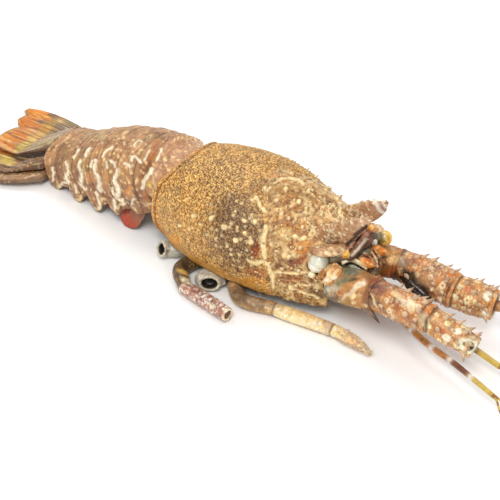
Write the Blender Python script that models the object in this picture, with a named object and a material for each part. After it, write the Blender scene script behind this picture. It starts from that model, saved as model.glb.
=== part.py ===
"""Common spiny lobster (Palinurus elephas), a still life-size model of one specimen.

Lengths in this script are millimetres and are scaled to metres when a mesh is made.
+X points to the head, +Y to the animal's left and +Z up. The origin is the middle of
the flat resting face under the thorax, on the floor. The body is the carapace with its
horns, the sternum, the head, the six abdomen rings, the tail fan, the swimmerets, the
antennae, the antennules, the mouth limbs and the legs. The near legs are broken off as
on the specimen and the far legs are whole.
"""
import math
import random

import bmesh
import bpy
import numpy as np

# Model units
MM = 0.001
SEED = 7
FLOOR = 0.0
GAP = 0.34
COLLECTION = "spiny_lobster"

# Carapace: dorsal height, half-width, and the lower margin, each along the body
BODY_X = (-72, -60, -47, -26, -7, 8, 26, 44, 62, 74)
DORSAL_Z = (62.5, 65.2, 69.0, 72.8, 73.4, 71.8, 67.8, 61.6, 55.4, 51)
HALF_WIDTH = (32.5, 35, 40.5, 44, 46, 45, 42, 36.5, 29.5, 24)
MARGIN_HALF_WIDTH = (30.5, 33, 38.8, 42.6, 44.5, 43.3, 40, 34.9, 28.8, 23.8)
MARGIN_Z = (17, 15.0, 12.6, 12.2, 12.4, 12.4, 11.2, 10.4, 10.8, 12.8)
ARCH_POWER = (0.92, 0.92, 0.92, 0.92, 0.94, 1.0, 1.12, 1.2, 1.2, 1.1)
WIDEST_Z = 34.0
ARCH_END = 90.0
MARGIN_ANGLE = 150.0
FRONT_MARGIN = ((0, 69.5), (22, 70), (34, 66), (44, 58), (54, 52.6), (74, 52.6),
                (86, 60), (96, 63.5), (120, 66.5), (150, 66.5))
REAR_MARGIN = ((0, -57), (20, -57.5), (40, -62), (60, -68), (80, -69.5), (110, -71),
               (135, -68.5), (150, -64))
SHELL_THICK = 2.6
UNDERSIDE_Z = 20.3
RECESS_X_FRONT = 50.0
RECESS_X_REAR = -50.0
CARAPACE_STATIONS = 21
CARAPACE_ARC_STEPS = 17
GROOVE_DEPTH = 1.6
GROOVE_WIDTH = 3.4
GROOVE_LINE = ((2, 0), (6, 14), (16, 30), (25, 48), (30, 70), (33, 95), (36, 120))

# Spine rows of the carapace: angle from the top, first and last x, step, and the
# lengths of the front and the rear spine
SPINE_ROWS = ((15, 46, -6, 8.6, 4.2, 1.9), (33, 40, -4, 9.0, 4.6, 2.1),
              (50, 45, -2, 9.2, 4.6, 2.2), (67, 42, 2, 9.4, 4.3, 2.2),
              (84, 50, 6, 9.6, 4.2, 2.3), (103, 57, 12, 10.4, 3.6, 2.2))
TUBERCLE_ROWS = ((22, -16, -44, 9.5), (44, -12, -48, 9.0), (66, -8, -50, 9.0),
                 (88, -6, -52, 9.5))
TUBERCLE_HEIGHT = 1.3
ANTENNAL_SPINE = (56.5, 85.0, 7.5)
TUBERCLE_RADIUS = 1.9
ANTENNAL_SPINE_RADIUS = 2.6
SPINE_LEAN = 0.85
ROOT_SINK = 1.7

# Horns over the eyes: root, middle and tip, with their height and thickness
HORN_PATH = ((50, 13.5, 49.5), (60, 13.2, 57), (69, 12.8, 63), (76, 12.4, 69.6))
HORN_TIP = {-1: (84.2, -11.5, 78.5), 1: (80, 13, 74.5)}
HORN_SIZES = ((16, 10), (13, 9), (13.5, 7), (9.5, 5), (2.2, 1.4))

# Lumps of the head on each side: the antenna's base and the boss on the keel
HEAD_LUMPS = (((64.0, 22.4, 36.8), (2.9, 4.8, 4.4)), ((80.0, 5.5, 41.2), (3.8, 3.0, 2.2)))

# Sternum
STERNUM_FRONT = (45.0, 12.0)
STERNUM_REAR = (-50.0, 29.0)
STERNUM_TOP = 20.0
STERNUM_BEVEL = 1.2

# Abdomen joints: dorsal point x and z, tilt of the joint plane, half-width, body depth
ABDOMEN_JOINTS = ((-50.3, 62.4, 0, 27.6, 39.0), (-82, 64.6, 14, 31.6, 40.5),
                  (-108, 60.6, 17, 32, 39), (-129, 54.6, 19, 31, 36.5),
                  (-148, 45.8, 19, 29.5, 32.5), (-164, 38.0, 16, 28, 27),
                  (-184, 33.0, 6, 25, 22.5))
PLEURON_DEPTH = (43.5, 46.5, 51.5, 50.5, 42.5, 35.0)
PLEURON_THICK = 2.4
WIDEST_DEPTH = 0.62
TERGITE_STEP = 1.5
TERGITE_GROOVE = 0.9

# Tail fan: the sheet that all its plates follow, and each plate's edges along x
FAN_X = (-184.4, -194, -206, -220, -236, -250, -265, -274.5)
FAN_LOW_Z = (5.4, 4.8, 3.8, 2.7, 1.6, 0.8, 0.2, 0.0)
FAN_THICK = 1.5
FAN_RIDGE = 0.5
FAN_LEVEL_STEP = 2.7
FAN_LIFT = {-1: 0.0, 1: 1.2}
FAN_SPREAD = {-1: 1.07, 1: 1.0}

# Swimmerets: where on its segment each one hangs, and how far it swings back
SWIMMERET_SHARE = 0.84
SWIMMERET_SWING = -0.8

# Antennae: the three joints of each stalk, its sizes, and the left feeler's route
ANTENNA_ROOT_X = 67.6
ANTENNA_R = ((67.6, -18, 26), (99.5, -23.8, 35.4), (136, -25.9, 37.0), (165, -24.8, 29.6))
ANTENNA_L = ((67.6, 18, 25), (91, 21, 26.5), (130, 21.5, 24), (155, 24.5, 23.4))
FEELER_L = ((155, 24.5, 23.4), (172, 26.5, 26.8), (215, 34, 33), (270, 50, 34), (330, 78, 30),
            (390, 116, 22), (450, 165, 12), (500, 217, 5), (520, 244, 3.4))
FEELER_D = (7.2, 5.6, 4.9, 4.3, 3.6, 3.0, 2.4, 1.7, 1.2)

# Spines of a stalk segment: how far along, and the angles round it from the left side
ANTENNA_SPINES = ((0.22, (25, 95, 160)), (0.46, (-5, 62, 120, 190)),
                  (0.66, (30, 92, 155)), (0.84, (-20, 10, 55, 90, 125, 170, 200)))
ANTENNA_SPINE_LENGTH = 5.0

# Pads on the inner side of each second segment, and a spur at the end of each first one
PAD_PATH = {"R": ((103.0, -14.6, 33.0), (112.0, -13.4, 31.5), (121.0, -14.4, 30.5),
                  (127.0, -15.8, 30.5)),
            "L": ((95.0, 12.6, 26.0), (104.0, 10.4, 23.4), (114.0, 9.2, 20.6),
                  (120.5, 9.4, 18.8))}
PAD_SIZES = ((3.4, 3.0), (8.6, 6.4), (7.6, 5.6), (2.0, 2.0))
JOINT_SPUR = {"R": ((93.5, -28.2, 28.0), (107.5, -32.2, 22.6)),
              "L": ((85.0, 26.4, 20.2), (96.5, 32.4, 14.0))}
SPUR_RADIUS = 2.6

# Antennules: stalk and the two short whips of each
ANTENNULE_R = ((84.4, -2.4, 25), (98, -5, 17), (109, -8.5, 12.5), (131, -17.6, 11),
               (152.5, -23.0, 10.5), (183, -33.0, 10))
ANTENNULE_L = ((84.4, 2.6, 25), (104, 2.0, 16), (126, 0, 12), (150, -3.4, 11),
               (176, -9.5, 10.5))
ANTENNULE_D = (4.6, 4.4, 4.2, 4.0, 3.6, 3.0)

# Eyes
EYE_R = (60.2, -28.4, 45.6)
EYE_L = (77.6, 19.9, 42.4)
EYE_RADIUS = (5.7, 4.9)
OCULAR_R = (71.6, -12.5, 45.4)
OCULAR_L = (72.6, 11.0, 46.2)

# Legs: where each root leaves the sternum
LEG_ROOT_X = (19.0, 3.0, -13.5, -30.0, -44.5)
LEG_ROOT_Z = 5.9


def mm_vectors(points):
    """Give a float array of points."""
    return np.array(points, float)


def clear_scene():
    """Remove every object, mesh, curve and collection that the file holds."""
    for old in list(bpy.data.objects):
        bpy.data.objects.remove(old, do_unlink=True)
    for old in list(bpy.data.collections):
        bpy.data.collections.remove(old)


def make_collection(name):
    """Add a collection to the scene and return it."""
    group = bpy.data.collections.new(name)
    bpy.context.scene.collection.children.link(group)
    return group


def make_material(name, color, roughness, metallic=0.0):
    """Make one Principled BSDF material."""
    material = bpy.data.materials.new(name)
    material.use_nodes = True
    shader = material.node_tree.nodes["Principled BSDF"]
    shader.inputs["Base Color"].default_value = (*color, 1.0)
    shader.inputs["Roughness"].default_value = roughness
    shader.inputs["Metallic"].default_value = metallic
    material.diffuse_color = (*color, 1.0)
    return material


def smoothstep(value):
    """Ease a value from 0 to 1."""
    value = np.clip(value, 0.0, 1.0)
    return value * value * (3.0 - 2.0 * value)


def add_mesh(name, bm, material, group):
    """Turn a bmesh in millimetres into an object in metres."""
    bmesh.ops.recalc_face_normals(bm, faces=bm.faces)
    bmesh.ops.scale(bm, vec=(MM, MM, MM), verts=bm.verts)
    mesh = bpy.data.meshes.new(name)
    bm.to_mesh(mesh)
    bm.free()
    mesh.materials.append(material)
    node = bpy.data.objects.new(name, mesh)
    group.objects.link(node)
    return node


def rings_to_bmesh(rings):
    """Loft closed rings of equal point counts and cap both ends."""
    bm = bmesh.new()
    loops = [[bm.verts.new(point) for point in ring] for ring in rings]
    count = len(loops[0])
    for lower, upper in zip(loops, loops[1:]):
        for i in range(count):
            j = (i + 1) % count
            bm.faces.new((lower[i], lower[j], upper[j], upper[i]))
    bm.faces.new(loops[0])
    bm.faces.new(loops[-1])
    return bm


def loft(name, rings, material, group):
    """Make one closed node from rings."""
    return add_mesh(name, rings_to_bmesh(rings), material, group)


def unit(vector):
    """Scale a vector to length 1."""
    return vector / np.linalg.norm(vector)


def path_tangents(path):
    """Give the direction of a path at each of its points."""
    steps = [unit(b - a) for a, b in zip(path, path[1:])]
    inner = [unit(a + b) for a, b in zip(steps, steps[1:])]
    return [steps[0], *inner, steps[-1]]


def mitre(before, joint, after, offset):
    """Give the plane between two limb segments, moved along its normal."""
    before, joint, after = (mm_vectors(p) for p in (before, joint, after))
    normal = unit(unit(joint - before) + unit(after - joint))
    return joint + normal * offset, normal


def onto_plane(ring, direction, plane):
    """Slide ring points along a direction until they lie on a plane."""
    point, normal = plane
    travel = ((point - ring) @ normal) / (direction @ normal)
    return ring + np.outer(travel, direction)


def limb_rings(path, sizes, sides=10, start=None, end=None, side_hint=(0, 0, 1),
               hollow=None, floor=FLOOR):
    """Give elliptical rings along a path.

    sizes holds a height and a width for each point. start and end are planes that the
    end faces lie on. hollow is a wall and a depth for a broken, open end.
    """
    path = [mm_vectors(p) for p in path]
    tangents = path_tangents(path)
    hint = mm_vectors(side_hint)
    rings = []
    for centre, tangent, (height, width) in zip(path, tangents, sizes):
        across = unit(np.cross(hint, tangent))
        up = np.cross(tangent, across)
        turn = [2.0 * math.pi * (k + 0.5) / sides for k in range(sides)]
        ring = [centre + across * width / 2 * math.cos(a) + up * height / 2 * math.sin(a)
                for a in turn]
        rings.append(np.array(ring))
    if start is not None:
        rings[0] = onto_plane(rings[0], tangents[0], start)
    if end is not None:
        rings[-1] = onto_plane(rings[-1], tangents[-1], end)
    if hollow is not None:
        wall, depth = hollow
        centre = rings[-1].mean(axis=0)
        reach = np.linalg.norm(rings[-1] - centre, axis=1)
        inner = centre + (rings[-1] - centre) * (1.0 - wall / reach)[:, None]
        rings.append(inner)
        rings.append(inner - tangents[-1] * depth)
    for ring in rings:
        ring[:, 2] = np.maximum(ring[:, 2], floor)
    return rings


def spine_mesh(root, tip, radius, sides=5):
    """Give a cone with its root ring and tip as a bmesh in millimetres."""
    root, tip = mm_vectors(root), mm_vectors(tip)
    axis = unit(tip - root)
    helper = np.array((0, 1, 0)) if abs(axis[1]) < 0.8 else np.array((1, 0, 0))
    across = unit(np.cross(axis, helper))
    up = np.cross(axis, across)
    bm = bmesh.new()
    loop = []
    for k in range(sides):
        a = 2.0 * math.pi * k / sides
        loop.append(bm.verts.new(root + (across * math.cos(a) + up * math.sin(a)) * radius))
    apex = bm.verts.new(tip)
    for k in range(sides):
        bm.faces.new((loop[k], loop[(k + 1) % sides], apex))
    bm.faces.new(loop)
    return bm


def keep_largest(node):
    """Keep only the largest closed surface of a node."""
    bm = bmesh.new()
    bm.from_mesh(node.data)
    left = set(bm.verts)
    islands = []
    while left:
        stack = [left.pop()]
        island = set(stack)
        while stack:
            for edge in stack.pop().link_edges:
                for vert in edge.verts:
                    if vert not in island:
                        island.add(vert)
                        stack.append(vert)
        left -= island
        islands.append(island)
    islands.sort(key=len)
    for island in islands[:-1]:
        bmesh.ops.delete(bm, geom=list(island), context="VERTS")
    bm.to_mesh(node.data)
    bm.free()


def fuse(node, pieces, cutters, solver="EXACT"):
    """Union closed pieces onto a node and apply it."""
    if not pieces:
        return
    join = node.modifiers.new("join", "BOOLEAN")
    join.operation = "UNION"
    join.operand_type = "COLLECTION"
    join.collection = cutters
    join.solver = solver
    depsgraph = bpy.context.evaluated_depsgraph_get()
    fused = bpy.data.meshes.new_from_object(node.evaluated_get(depsgraph))
    node.modifiers.clear()
    node.data = fused
    for piece in pieces:
        bpy.data.objects.remove(piece, do_unlink=True)
    keep_largest(node)


def along_body(values, x):
    """Read one of the carapace's size rows at x."""
    return np.interp(x, BODY_X, values)


def margin_x(table, angle):
    """Read where the front or rear margin lies at an angle round the body."""
    angles = [row[0] for row in table]
    places = [row[1] for row in table]
    return float(np.interp(abs(angle), angles, places))


def carapace_point(x, angle, inset=0.0):
    """Give a point of the carapace at x and an angle from the top, + to the left."""
    top = along_body(DORSAL_Z, x) - inset
    half = along_body(HALF_WIDTH, x) - inset
    low_half = along_body(MARGIN_HALF_WIDTH, x) - inset
    low_z = along_body(MARGIN_Z, x)
    size = abs(angle)
    sign = 1.0 if angle >= 0 else -1.0
    if size <= ARCH_END:
        t = math.radians(size)
        power = along_body(ARCH_POWER, x)
        y = half * math.sin(t) ** power
        z = WIDEST_Z + (top - WIDEST_Z) * max(math.cos(t), 0.0) ** power
    else:
        t = math.radians((size - ARCH_END) / (MARGIN_ANGLE - ARCH_END) * 90.0)
        y = half - (half - low_half) * (1.0 - math.cos(t))
        z = WIDEST_Z - (WIDEST_Z - low_z) * math.sin(t)
    return np.array((x, sign * y, z))


def groove_depth(x, angle):
    """Give how deep the cervical groove is at a point."""
    angles = [row[1] for row in GROOVE_LINE]
    places = [row[0] for row in GROOVE_LINE]
    away = abs(x - float(np.interp(abs(angle), angles, places)))
    return GROOVE_DEPTH * math.exp(-(away / GROOVE_WIDTH) ** 2)


def carapace_surface(x, angle):
    """Give a point of the finished outer surface, with groove and rear rim."""
    rear = margin_x(REAR_MARGIN, angle)
    rim = 0.9 * math.exp(-((x - rear - 2.0) / 2.6) ** 2)
    return carapace_point(x, angle, groove_depth(x, angle) - rim)


def station_x(share, angle):
    """Give x along the carapace from the rear margin (0) to the front margin (1)."""
    front = margin_x(FRONT_MARGIN, angle)
    rear = margin_x(REAR_MARGIN, angle)
    plain = -60.0 + 130.0 * share
    to_front = float(smoothstep((plain - 30.0) / 40.0))
    to_rear = float(smoothstep((-32.0 - plain) / 28.0))
    return plain + to_front * (front - 70.0) + to_rear * (rear + 60.0)


def carapace_ring(share, recess=False):
    """Give one ring: outer arc, lower rims and underside."""
    inset = SHELL_THICK if recess else 0.0
    low_z = UNDERSIDE_Z + 2.4 if recess else None
    angles = np.linspace(-MARGIN_ANGLE, MARGIN_ANGLE, 2 * CARAPACE_ARC_STEPS + 1)
    ring = []
    for angle in angles:
        x = station_x(share, angle)
        if recess:
            point = carapace_point(x, angle, inset)
            point[2] = low_z + max(point[2] - low_z, 0.0)
            if point[2] <= low_z:
                point[2] = low_z + 0.05 * (MARGIN_ANGLE - abs(angle)) / 10.0
        else:
            point = carapace_surface(x, angle)
        ring.append(point)
    end = ring[-1]
    wall = 2.6
    x_low = station_x(share, MARGIN_ANGLE)
    inner_y = end[1] - wall
    floor_y = inner_y - 0.8
    if recess:
        under = low_z - 0.1
        rows = ((inner_y, under), (floor_y, under), (floor_y / 3, under))
    else:
        rows = ((inner_y, end[2]), (floor_y, UNDERSIDE_Z), (floor_y / 3, UNDERSIDE_Z))
    for y, z in rows:
        ring.append(np.array((x_low, y, z)))
    for y, z in reversed(rows):
        ring.append(np.array((x_low, -y, z)))
    return np.array(ring)


def carapace_normal(x, angle):
    """Give the outward normal of the carapace at a point."""
    along = carapace_point(x + 0.5, angle) - carapace_point(x - 0.5, angle)
    around = carapace_point(x, angle + 1.0) - carapace_point(x, angle - 1.0)
    return unit(np.cross(along, around))


def spine_radius(length):
    """Give the root radius of a spine of some length."""
    return 1.0 + 0.24 * length


def surface_spine(x, angle, length, lean, blunt, material, group):
    """Make one spine on the carapace, leaning forward."""
    point = carapace_surface(x, angle)
    normal = carapace_normal(x, angle)
    heading = unit(normal + np.array((lean, 0.0, 0.0)))
    root = point - normal * ROOT_SINK
    tip = point + heading * length
    bm = spine_mesh(root, tip, blunt)
    return add_mesh("spine", bm, material, group)


def carapace_spines(material, group):
    """Make the rows of spines and low tubercles on both sides."""
    pieces = []
    for angle, first, last, step, long_tip, short_tip in SPINE_ROWS:
        count = int((first - last) / step) + 1
        for side in (-1, 1):
            for k in range(count):
                share = k / max(count - 1, 1)
                x = first - step * k + random.uniform(-1.6, 1.6)
                turn = side * (angle + random.uniform(-4.0, 4.0))
                length = long_tip + (short_tip - long_tip) * share
                length *= random.uniform(0.85, 1.15)
                pieces.append(surface_spine(x, turn, length, SPINE_LEAN,
                                            spine_radius(length), material, group))
    for angle, first, last, step in TUBERCLE_ROWS:
        count = int((first - last) / step) + 1
        for side in (-1, 1):
            for k in range(count):
                x = first - step * k + random.uniform(-2.0, 2.0)
                turn = side * (angle + random.uniform(-5.0, 5.0))
                pieces.append(surface_spine(x, turn, TUBERCLE_HEIGHT, 0.3,
                                            TUBERCLE_RADIUS, material, group))
    x, angle, length = ANTENNAL_SPINE
    for side in (-1, 1):
        pieces.append(surface_spine(x, side * angle, length, 1.6,
                                    ANTENNAL_SPINE_RADIUS, material, group))
    return pieces


def make_carapace(material, group, cutters):
    """Make the carapace with its horns and spines."""
    shares = [k / (CARAPACE_STATIONS - 1) for k in range(CARAPACE_STATIONS)]
    rings = [carapace_ring(share) for share in shares]
    rear_rim = carapace_ring(0.0, recess=True)
    rear_floor = rear_rim * np.array((0.0, 0.97, 1.0)) + np.array((RECESS_X_REAR, 0, 0))
    front_rim = carapace_ring(1.0, recess=True)
    front_floor = front_rim * np.array((0.0, 0.97, 1.0)) + np.array((RECESS_X_FRONT, 0, 0))
    rings = [rear_floor, rear_rim, *rings, front_rim, front_floor]
    node = loft("carapace", rings, material, group)
    pieces = [make_horn(side, material, cutters) for side in (-1, 1)]
    pieces += carapace_spines(material, cutters)
    fuse(node, pieces, cutters)
    return node


def make_horn(side, material, group):
    """Make one flattened horn, rooted in the carapace."""
    path = [(x, side * y, z) for x, y, z in HORN_PATH]
    path.append(HORN_TIP[side])
    rings = limb_rings(path, HORN_SIZES, sides=8, side_hint=(0, 0, 1))
    return loft("horn", rings, material, group)


def sternum_half_width(x):
    """Give the half-width of the sternum at x."""
    return float(np.interp(x, (STERNUM_REAR[0], STERNUM_FRONT[0]),
                           (STERNUM_REAR[1], STERNUM_FRONT[1])))


def sternum_plane(side, offset):
    """Give the side face of the sternum, moved outward by an offset."""
    rear = np.array((STERNUM_REAR[0], side * STERNUM_REAR[1], 0.0))
    front = np.array((STERNUM_FRONT[0], side * STERNUM_FRONT[1], 0.0))
    run = unit(front - rear)
    normal = unit(np.array((run[1], -run[0], 0.0))) * (-side)
    if normal[1] * side < 0:
        normal = -normal
    return rear + normal * offset, normal


def make_sternum(material, group):
    """Make the flat plate and side walls under the thorax."""
    rings = []
    for x, half in (STERNUM_REAR, STERNUM_FRONT):
        low, top = FLOOR, STERNUM_TOP
        bevel = STERNUM_BEVEL
        rings.append(mm_vectors(((x, -half + bevel, low), (x, half - bevel, low),
                                 (x, half, low + bevel), (x, half, top - bevel),
                                 (x, half - bevel, top), (x, -half + bevel, top),
                                 (x, -half, top - bevel), (x, -half, low + bevel))))
    return loft("sternum", rings, material, group)


def lump_mesh(centre, radii):
    """Give a rounded lump as a bmesh in millimetres."""
    bm = bmesh.new()
    bmesh.ops.create_uvsphere(bm, u_segments=10, v_segments=6, radius=1.0)
    bmesh.ops.scale(bm, verts=bm.verts, vec=radii)
    bmesh.ops.translate(bm, verts=bm.verts, vec=centre)
    return bm


def make_head(material, group, cutters):
    """Make the head block, its keel between the antennae and the antennular plate."""
    rows = ((50.35, 20.5, 20.5, 23.2, 36.5, 39.5), (60.0, 20.5, 18.5, 23.2, 36.5, 40.0),
            (66.8, 19.5, 16.0, 23.2, 37.5, 40.6), (67.15, 4.6, 12.0, 17.0, 38.6, 41.2),
            (76.0, 4.6, 11.0, 16.0, 38.8, 41.6), (84.0, 4.2, 7.0, 17.5, 38.6, 41.0))
    rings = []
    for x, low_half, top_half, low_z, neck_z, top_z in rows:
        half = ((low_half * 0.7, low_z), (low_half, low_z + 2.5), (low_half, neck_z - 1.5),
                (top_half, neck_z), (top_half, top_z - 1.4), (top_half * 0.55, top_z))
        right = [(x, -y, z) for y, z in half]
        left = [(x, y, z) for y, z in reversed(half)]
        rings.append(mm_vectors(right + left))
    node = loft("head", rings, material, group)
    pieces = []
    for side in (-1, 1):
        for (x, y, z), radii in HEAD_LUMPS:
            lump = lump_mesh((x, side * y, z), radii)
            pieces.append(add_mesh("lump", lump, material, cutters))
    fuse(node, pieces, cutters)
    return node


def sphere(name, centre, radius, material, group):
    """Make one eye ball."""
    bm = bmesh.new()
    bmesh.ops.create_uvsphere(bm, u_segments=16, v_segments=10, radius=radius)
    bmesh.ops.translate(bm, verts=bm.verts, vec=centre)
    return add_mesh(name, bm, material, group)


def make_eyes(materials, group):
    """Make the two eyestalks, which meet at the midline, and the two eyes."""
    for side, tag, joint, eye, radius in ((-1, "R", OCULAR_R, EYE_R, EYE_RADIUS[0]),
                                          (1, "L", OCULAR_L, EYE_L, EYE_RADIUS[1])):
        middle = (mm_vectors(OCULAR_R) + mm_vectors(OCULAR_L)) / 2
        centre = mm_vectors(eye)
        middle_plane = (middle + np.array((0, side * GAP / 2, 0)), np.array((0.0, 1.0, 0.0)))
        knee = mm_vectors(joint)
        toward = unit(centre - knee)
        stop = centre - toward * (radius + GAP)
        path = [middle, middle * 0.4 + knee * 0.6, knee, knee * 0.4 + stop * 0.6, stop]
        sizes = ((6.0, 6.4), (6.6, 7.0), (7.4, 7.4), (5.6, 5.8), (5.4, 5.4))
        rings = limb_rings(path, sizes, sides=10, start=middle_plane)
        loft(f"eyestalk_{tag}", rings, materials["stalk"], group)
        sphere(f"eye_{tag}", eye, radius, materials["eye"], group)


def abdomen_section(joint, share, index, inset):
    """Give one ring of an abdomen segment in its own tilted plane."""
    x_top, z_top, tilt, half, depth = joint
    half -= inset
    top = inset
    widest = depth * WIDEST_DEPTH
    ends = (0.0, 0.35, 0.5, 0.55, 0.6, 0.6)[index]
    reach = float(np.interp(share, (0.0, 0.3, 0.68, 1.0), (ends, 0.6, 1.0, ends + 0.15)))
    if index == 0:
        reach = 0.0
    full = PLEURON_DEPTH[index]
    tip = depth + (full - depth) * reach
    points = []
    for k in range(9):
        t = math.radians(90.0 * k / 8)
        points.append((half * math.sin(t) ** 0.95,
                       top + (widest - top) * (1.0 - math.cos(t) ** 0.95)))
    tuck = 8.0 * (1.0 - reach) ** 2
    points.append((half - 0.4 - tuck * 0.5, widest + (tip - widest) * 0.5))
    points.append((half - 1.6 - tuck, tip - 0.6))
    points.append((half - 1.6 - tuck - PLEURON_THICK * 0.6, tip))
    points.append((half - 2.6 - tuck - PLEURON_THICK * 0.6, depth + (tip - depth) * 0.5))
    points.append((half - 3.4 - tuck - PLEURON_THICK, depth - 1.0))
    points.append((half * 0.35, depth - 0.4))
    lean = math.radians(tilt)
    down = np.array((math.sin(lean), 0.0, -math.cos(lean)))
    origin = np.array((x_top, 0.0, z_top))
    right = [origin + down * d + np.array((0, -y, 0)) for y, d in points]
    left = [origin + down * d + np.array((0, y, 0)) for y, d in reversed(points[1:])]
    return np.array(right + left)


def make_abdomen(material, group):
    """Make the six rings of the abdomen, each with a step, a groove and pleura."""
    nodes = []
    for index in range(6):
        front = np.array(ABDOMEN_JOINTS[index], float)
        rear = np.array(ABDOMEN_JOINTS[index + 1], float)
        if index:
            front[0] -= GAP / math.cos(math.radians(front[2]))
        stations = ((0.0, TERGITE_STEP), (0.14, 0.5), (0.28, 0.1), (0.42, TERGITE_GROOVE),
                    (0.56, 0.0), (0.8, -0.2), (0.94, -0.5), (1.0, 0.1))
        if index == 0:
            stations = ((0.0, 0.4), (0.3, 1.0), (0.6, 2.3), (0.76, 2.0), (0.84, 0.5),
                        (0.94, -0.2), (1.0, 0.4))
        rings = []
        for share, inset in stations:
            joint = front + (rear - front) * share
            rings.append(abdomen_section(joint, share, index, inset))
        nodes.append(loft(f"abdomen_{index + 1}", rings, material, group))
    return nodes


def fan_section(x, y_from, y_to, low, high, crown, ridge=FAN_RIDGE, count=11):
    """Give one cross ring of a tail fan plate, with its ribs raised on the top."""
    shares = np.linspace(0.0, 1.0, count)
    top = []
    bottom = []
    for k, share in enumerate(shares):
        y = y_from + (y_to - y_from) * share
        rise = crown * (1.0 - (2.0 * share - 1.0) ** 2) + ridge * (k % 2)
        edge = 0.35 if share in (0.0, 1.0) else 0.0
        top.append((x, y, high + rise - edge * (high - low)))
        bottom.append((x, y, low + edge * (high - low) * 0.6))
    return mm_vectors(top + bottom[::-1])


def fan_low(x):
    """Give the height of the sheet that the tail plates follow."""
    return float(np.interp(x, FAN_X[::-1], FAN_LOW_Z[::-1]))


def make_tail_fan(material, group):
    """Make the telson and the four uropods as thin plates at three levels."""
    telson_rows = ((-184.4, 16.5), (-194, 17.5), (-206, 18.5), (-220, 19.0), (-236, 19.5),
                   (-246, 18.0), (-251.5, 10.0))
    rings = []
    for x, half in telson_rows:
        swell = float(np.interp(x, (-220, -184), (0.0, 1.0)))
        thick = FAN_THICK + 7.0 * swell
        base = fan_low(x) + FAN_LIFT[1] + 2 * FAN_LEVEL_STEP + 11.6 * swell
        rings.append(fan_section(x, -half, half, base, base + thick, 1.2))
    loft("telson", rings, material, group)
    inner_rows = ((-184.4, 11.6, 25.0), (-194, 12.5, 30.0), (-206, 13.5, 34.5),
                  (-220, 14.0, 37.0), (-236, 15.0, 38.0), (-250, 15.5, 37.5),
                  (-259, 18.0, 35.5), (-264.5, 24.0, 32.0))
    outer_rows = ((-184.4, 12.4, 27.4), (-194, 17.0, 37.0), (-206, 23.0, 44.0),
                  (-220, 27.0, 48.0), (-236, 30.0, 50.5), (-250, 32.0, 51.5),
                  (-265, 35.0, 50.0), (-274.5, 40.0, 46.0))
    for side, tag in ((-1, "R"), (1, "L")):
        for level, name, rows in ((1, "uropod_inner", inner_rows),
                                  (0, "uropod_outer", outer_rows)):
            rings = []
            for x, near, far in rows:
                low = fan_low(x) + FAN_LIFT[side]
                swell = float(np.interp(x, (-212, -184), (0.0, 1.0)))
                base = low - 1.5 * swell + level * (FAN_LEVEL_STEP + 7.5 * swell)
                thick = FAN_THICK + 6.0 * swell
                far_y = side * far * FAN_SPREAD[side]
                rib = FAN_RIDGE * float(np.interp(x, (-200, -190), (1.0, 0.0)))
                rings.append(fan_section(x, side * near, far_y, base, base + thick, 0.2, rib))
            loft(f"{name}_{tag}", rings, material, group)


def make_swimmerets(material, group):
    """Make the pleopod flaps that hang under segments 2 to 5."""
    for index, (length, width) in enumerate(((22.0, 20.0), (13.5, 15.0), (8.5, 12.0),
                                             (6.0, 10.0)), start=1):
        front = np.array(ABDOMEN_JOINTS[index], float)
        rear = np.array(ABDOMEN_JOINTS[index + 1], float)
        middle = front + (rear - front) * SWIMMERET_SHARE
        lean = math.radians(middle[2])
        down = np.array((math.sin(lean), 0.0, -math.cos(lean)))
        belly = np.array((middle[0], 0.0, middle[1])) + down * (middle[4] + 0.2)
        slope = np.array((math.cos(lean), 0.0, math.sin(lean)))
        for side, tag in ((-1, "R"), (1, "L")):
            root = belly + np.array((0, side * (middle[3] * 0.62), 0)) + down * GAP
            out = np.array((0, side * 0.34, 0))
            swing = down + out + np.array((SWIMMERET_SWING, 0, 0))
            path = [root + swing * length * s for s in (0.0, 0.3, 0.65, 0.9, 1.0)]
            sizes = [(1.6, width * 0.45), (1.5, width * 0.95), (1.4, width),
                     (1.2, width * 0.7), (1.0, width * 0.3)]
            rings = limb_rings(path, sizes, sides=8, start=(root, -down),
                               side_hint=np.cross(swing, slope), floor=0.8)
            loft(f"swimmeret_{tag}{index + 1}", rings, material, group)


def antenna_spines(path, sizes, reach, material, group):
    """Make the spines of one stalk segment, leaning forward."""
    pieces = []
    first, last = path[0], path[-1]
    axis = unit(last - first)
    across = unit(np.cross((0.0, 0.0, 1.0), axis))
    up = np.cross(axis, across)
    for share, turns in ANTENNA_SPINES:
        centre = first + (last - first) * share
        height, width = [float(np.interp(share, (0.0, 0.5, 1.0), row)) for row in zip(*sizes)]
        for turn in turns:
            a = math.radians(turn + random.uniform(-9.0, 9.0))
            out = across * math.cos(a) + up * math.sin(a)
            edge = centre + across * width / 2 * math.cos(a) + up * height / 2 * math.sin(a)
            length = reach * random.uniform(0.8, 1.15)
            tip = edge + unit(out + axis * 0.9) * length
            bm = spine_mesh(edge - out * ROOT_SINK, tip, spine_radius(length))
            pieces.append(add_mesh("spine", bm, material, group))
    return pieces


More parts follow.
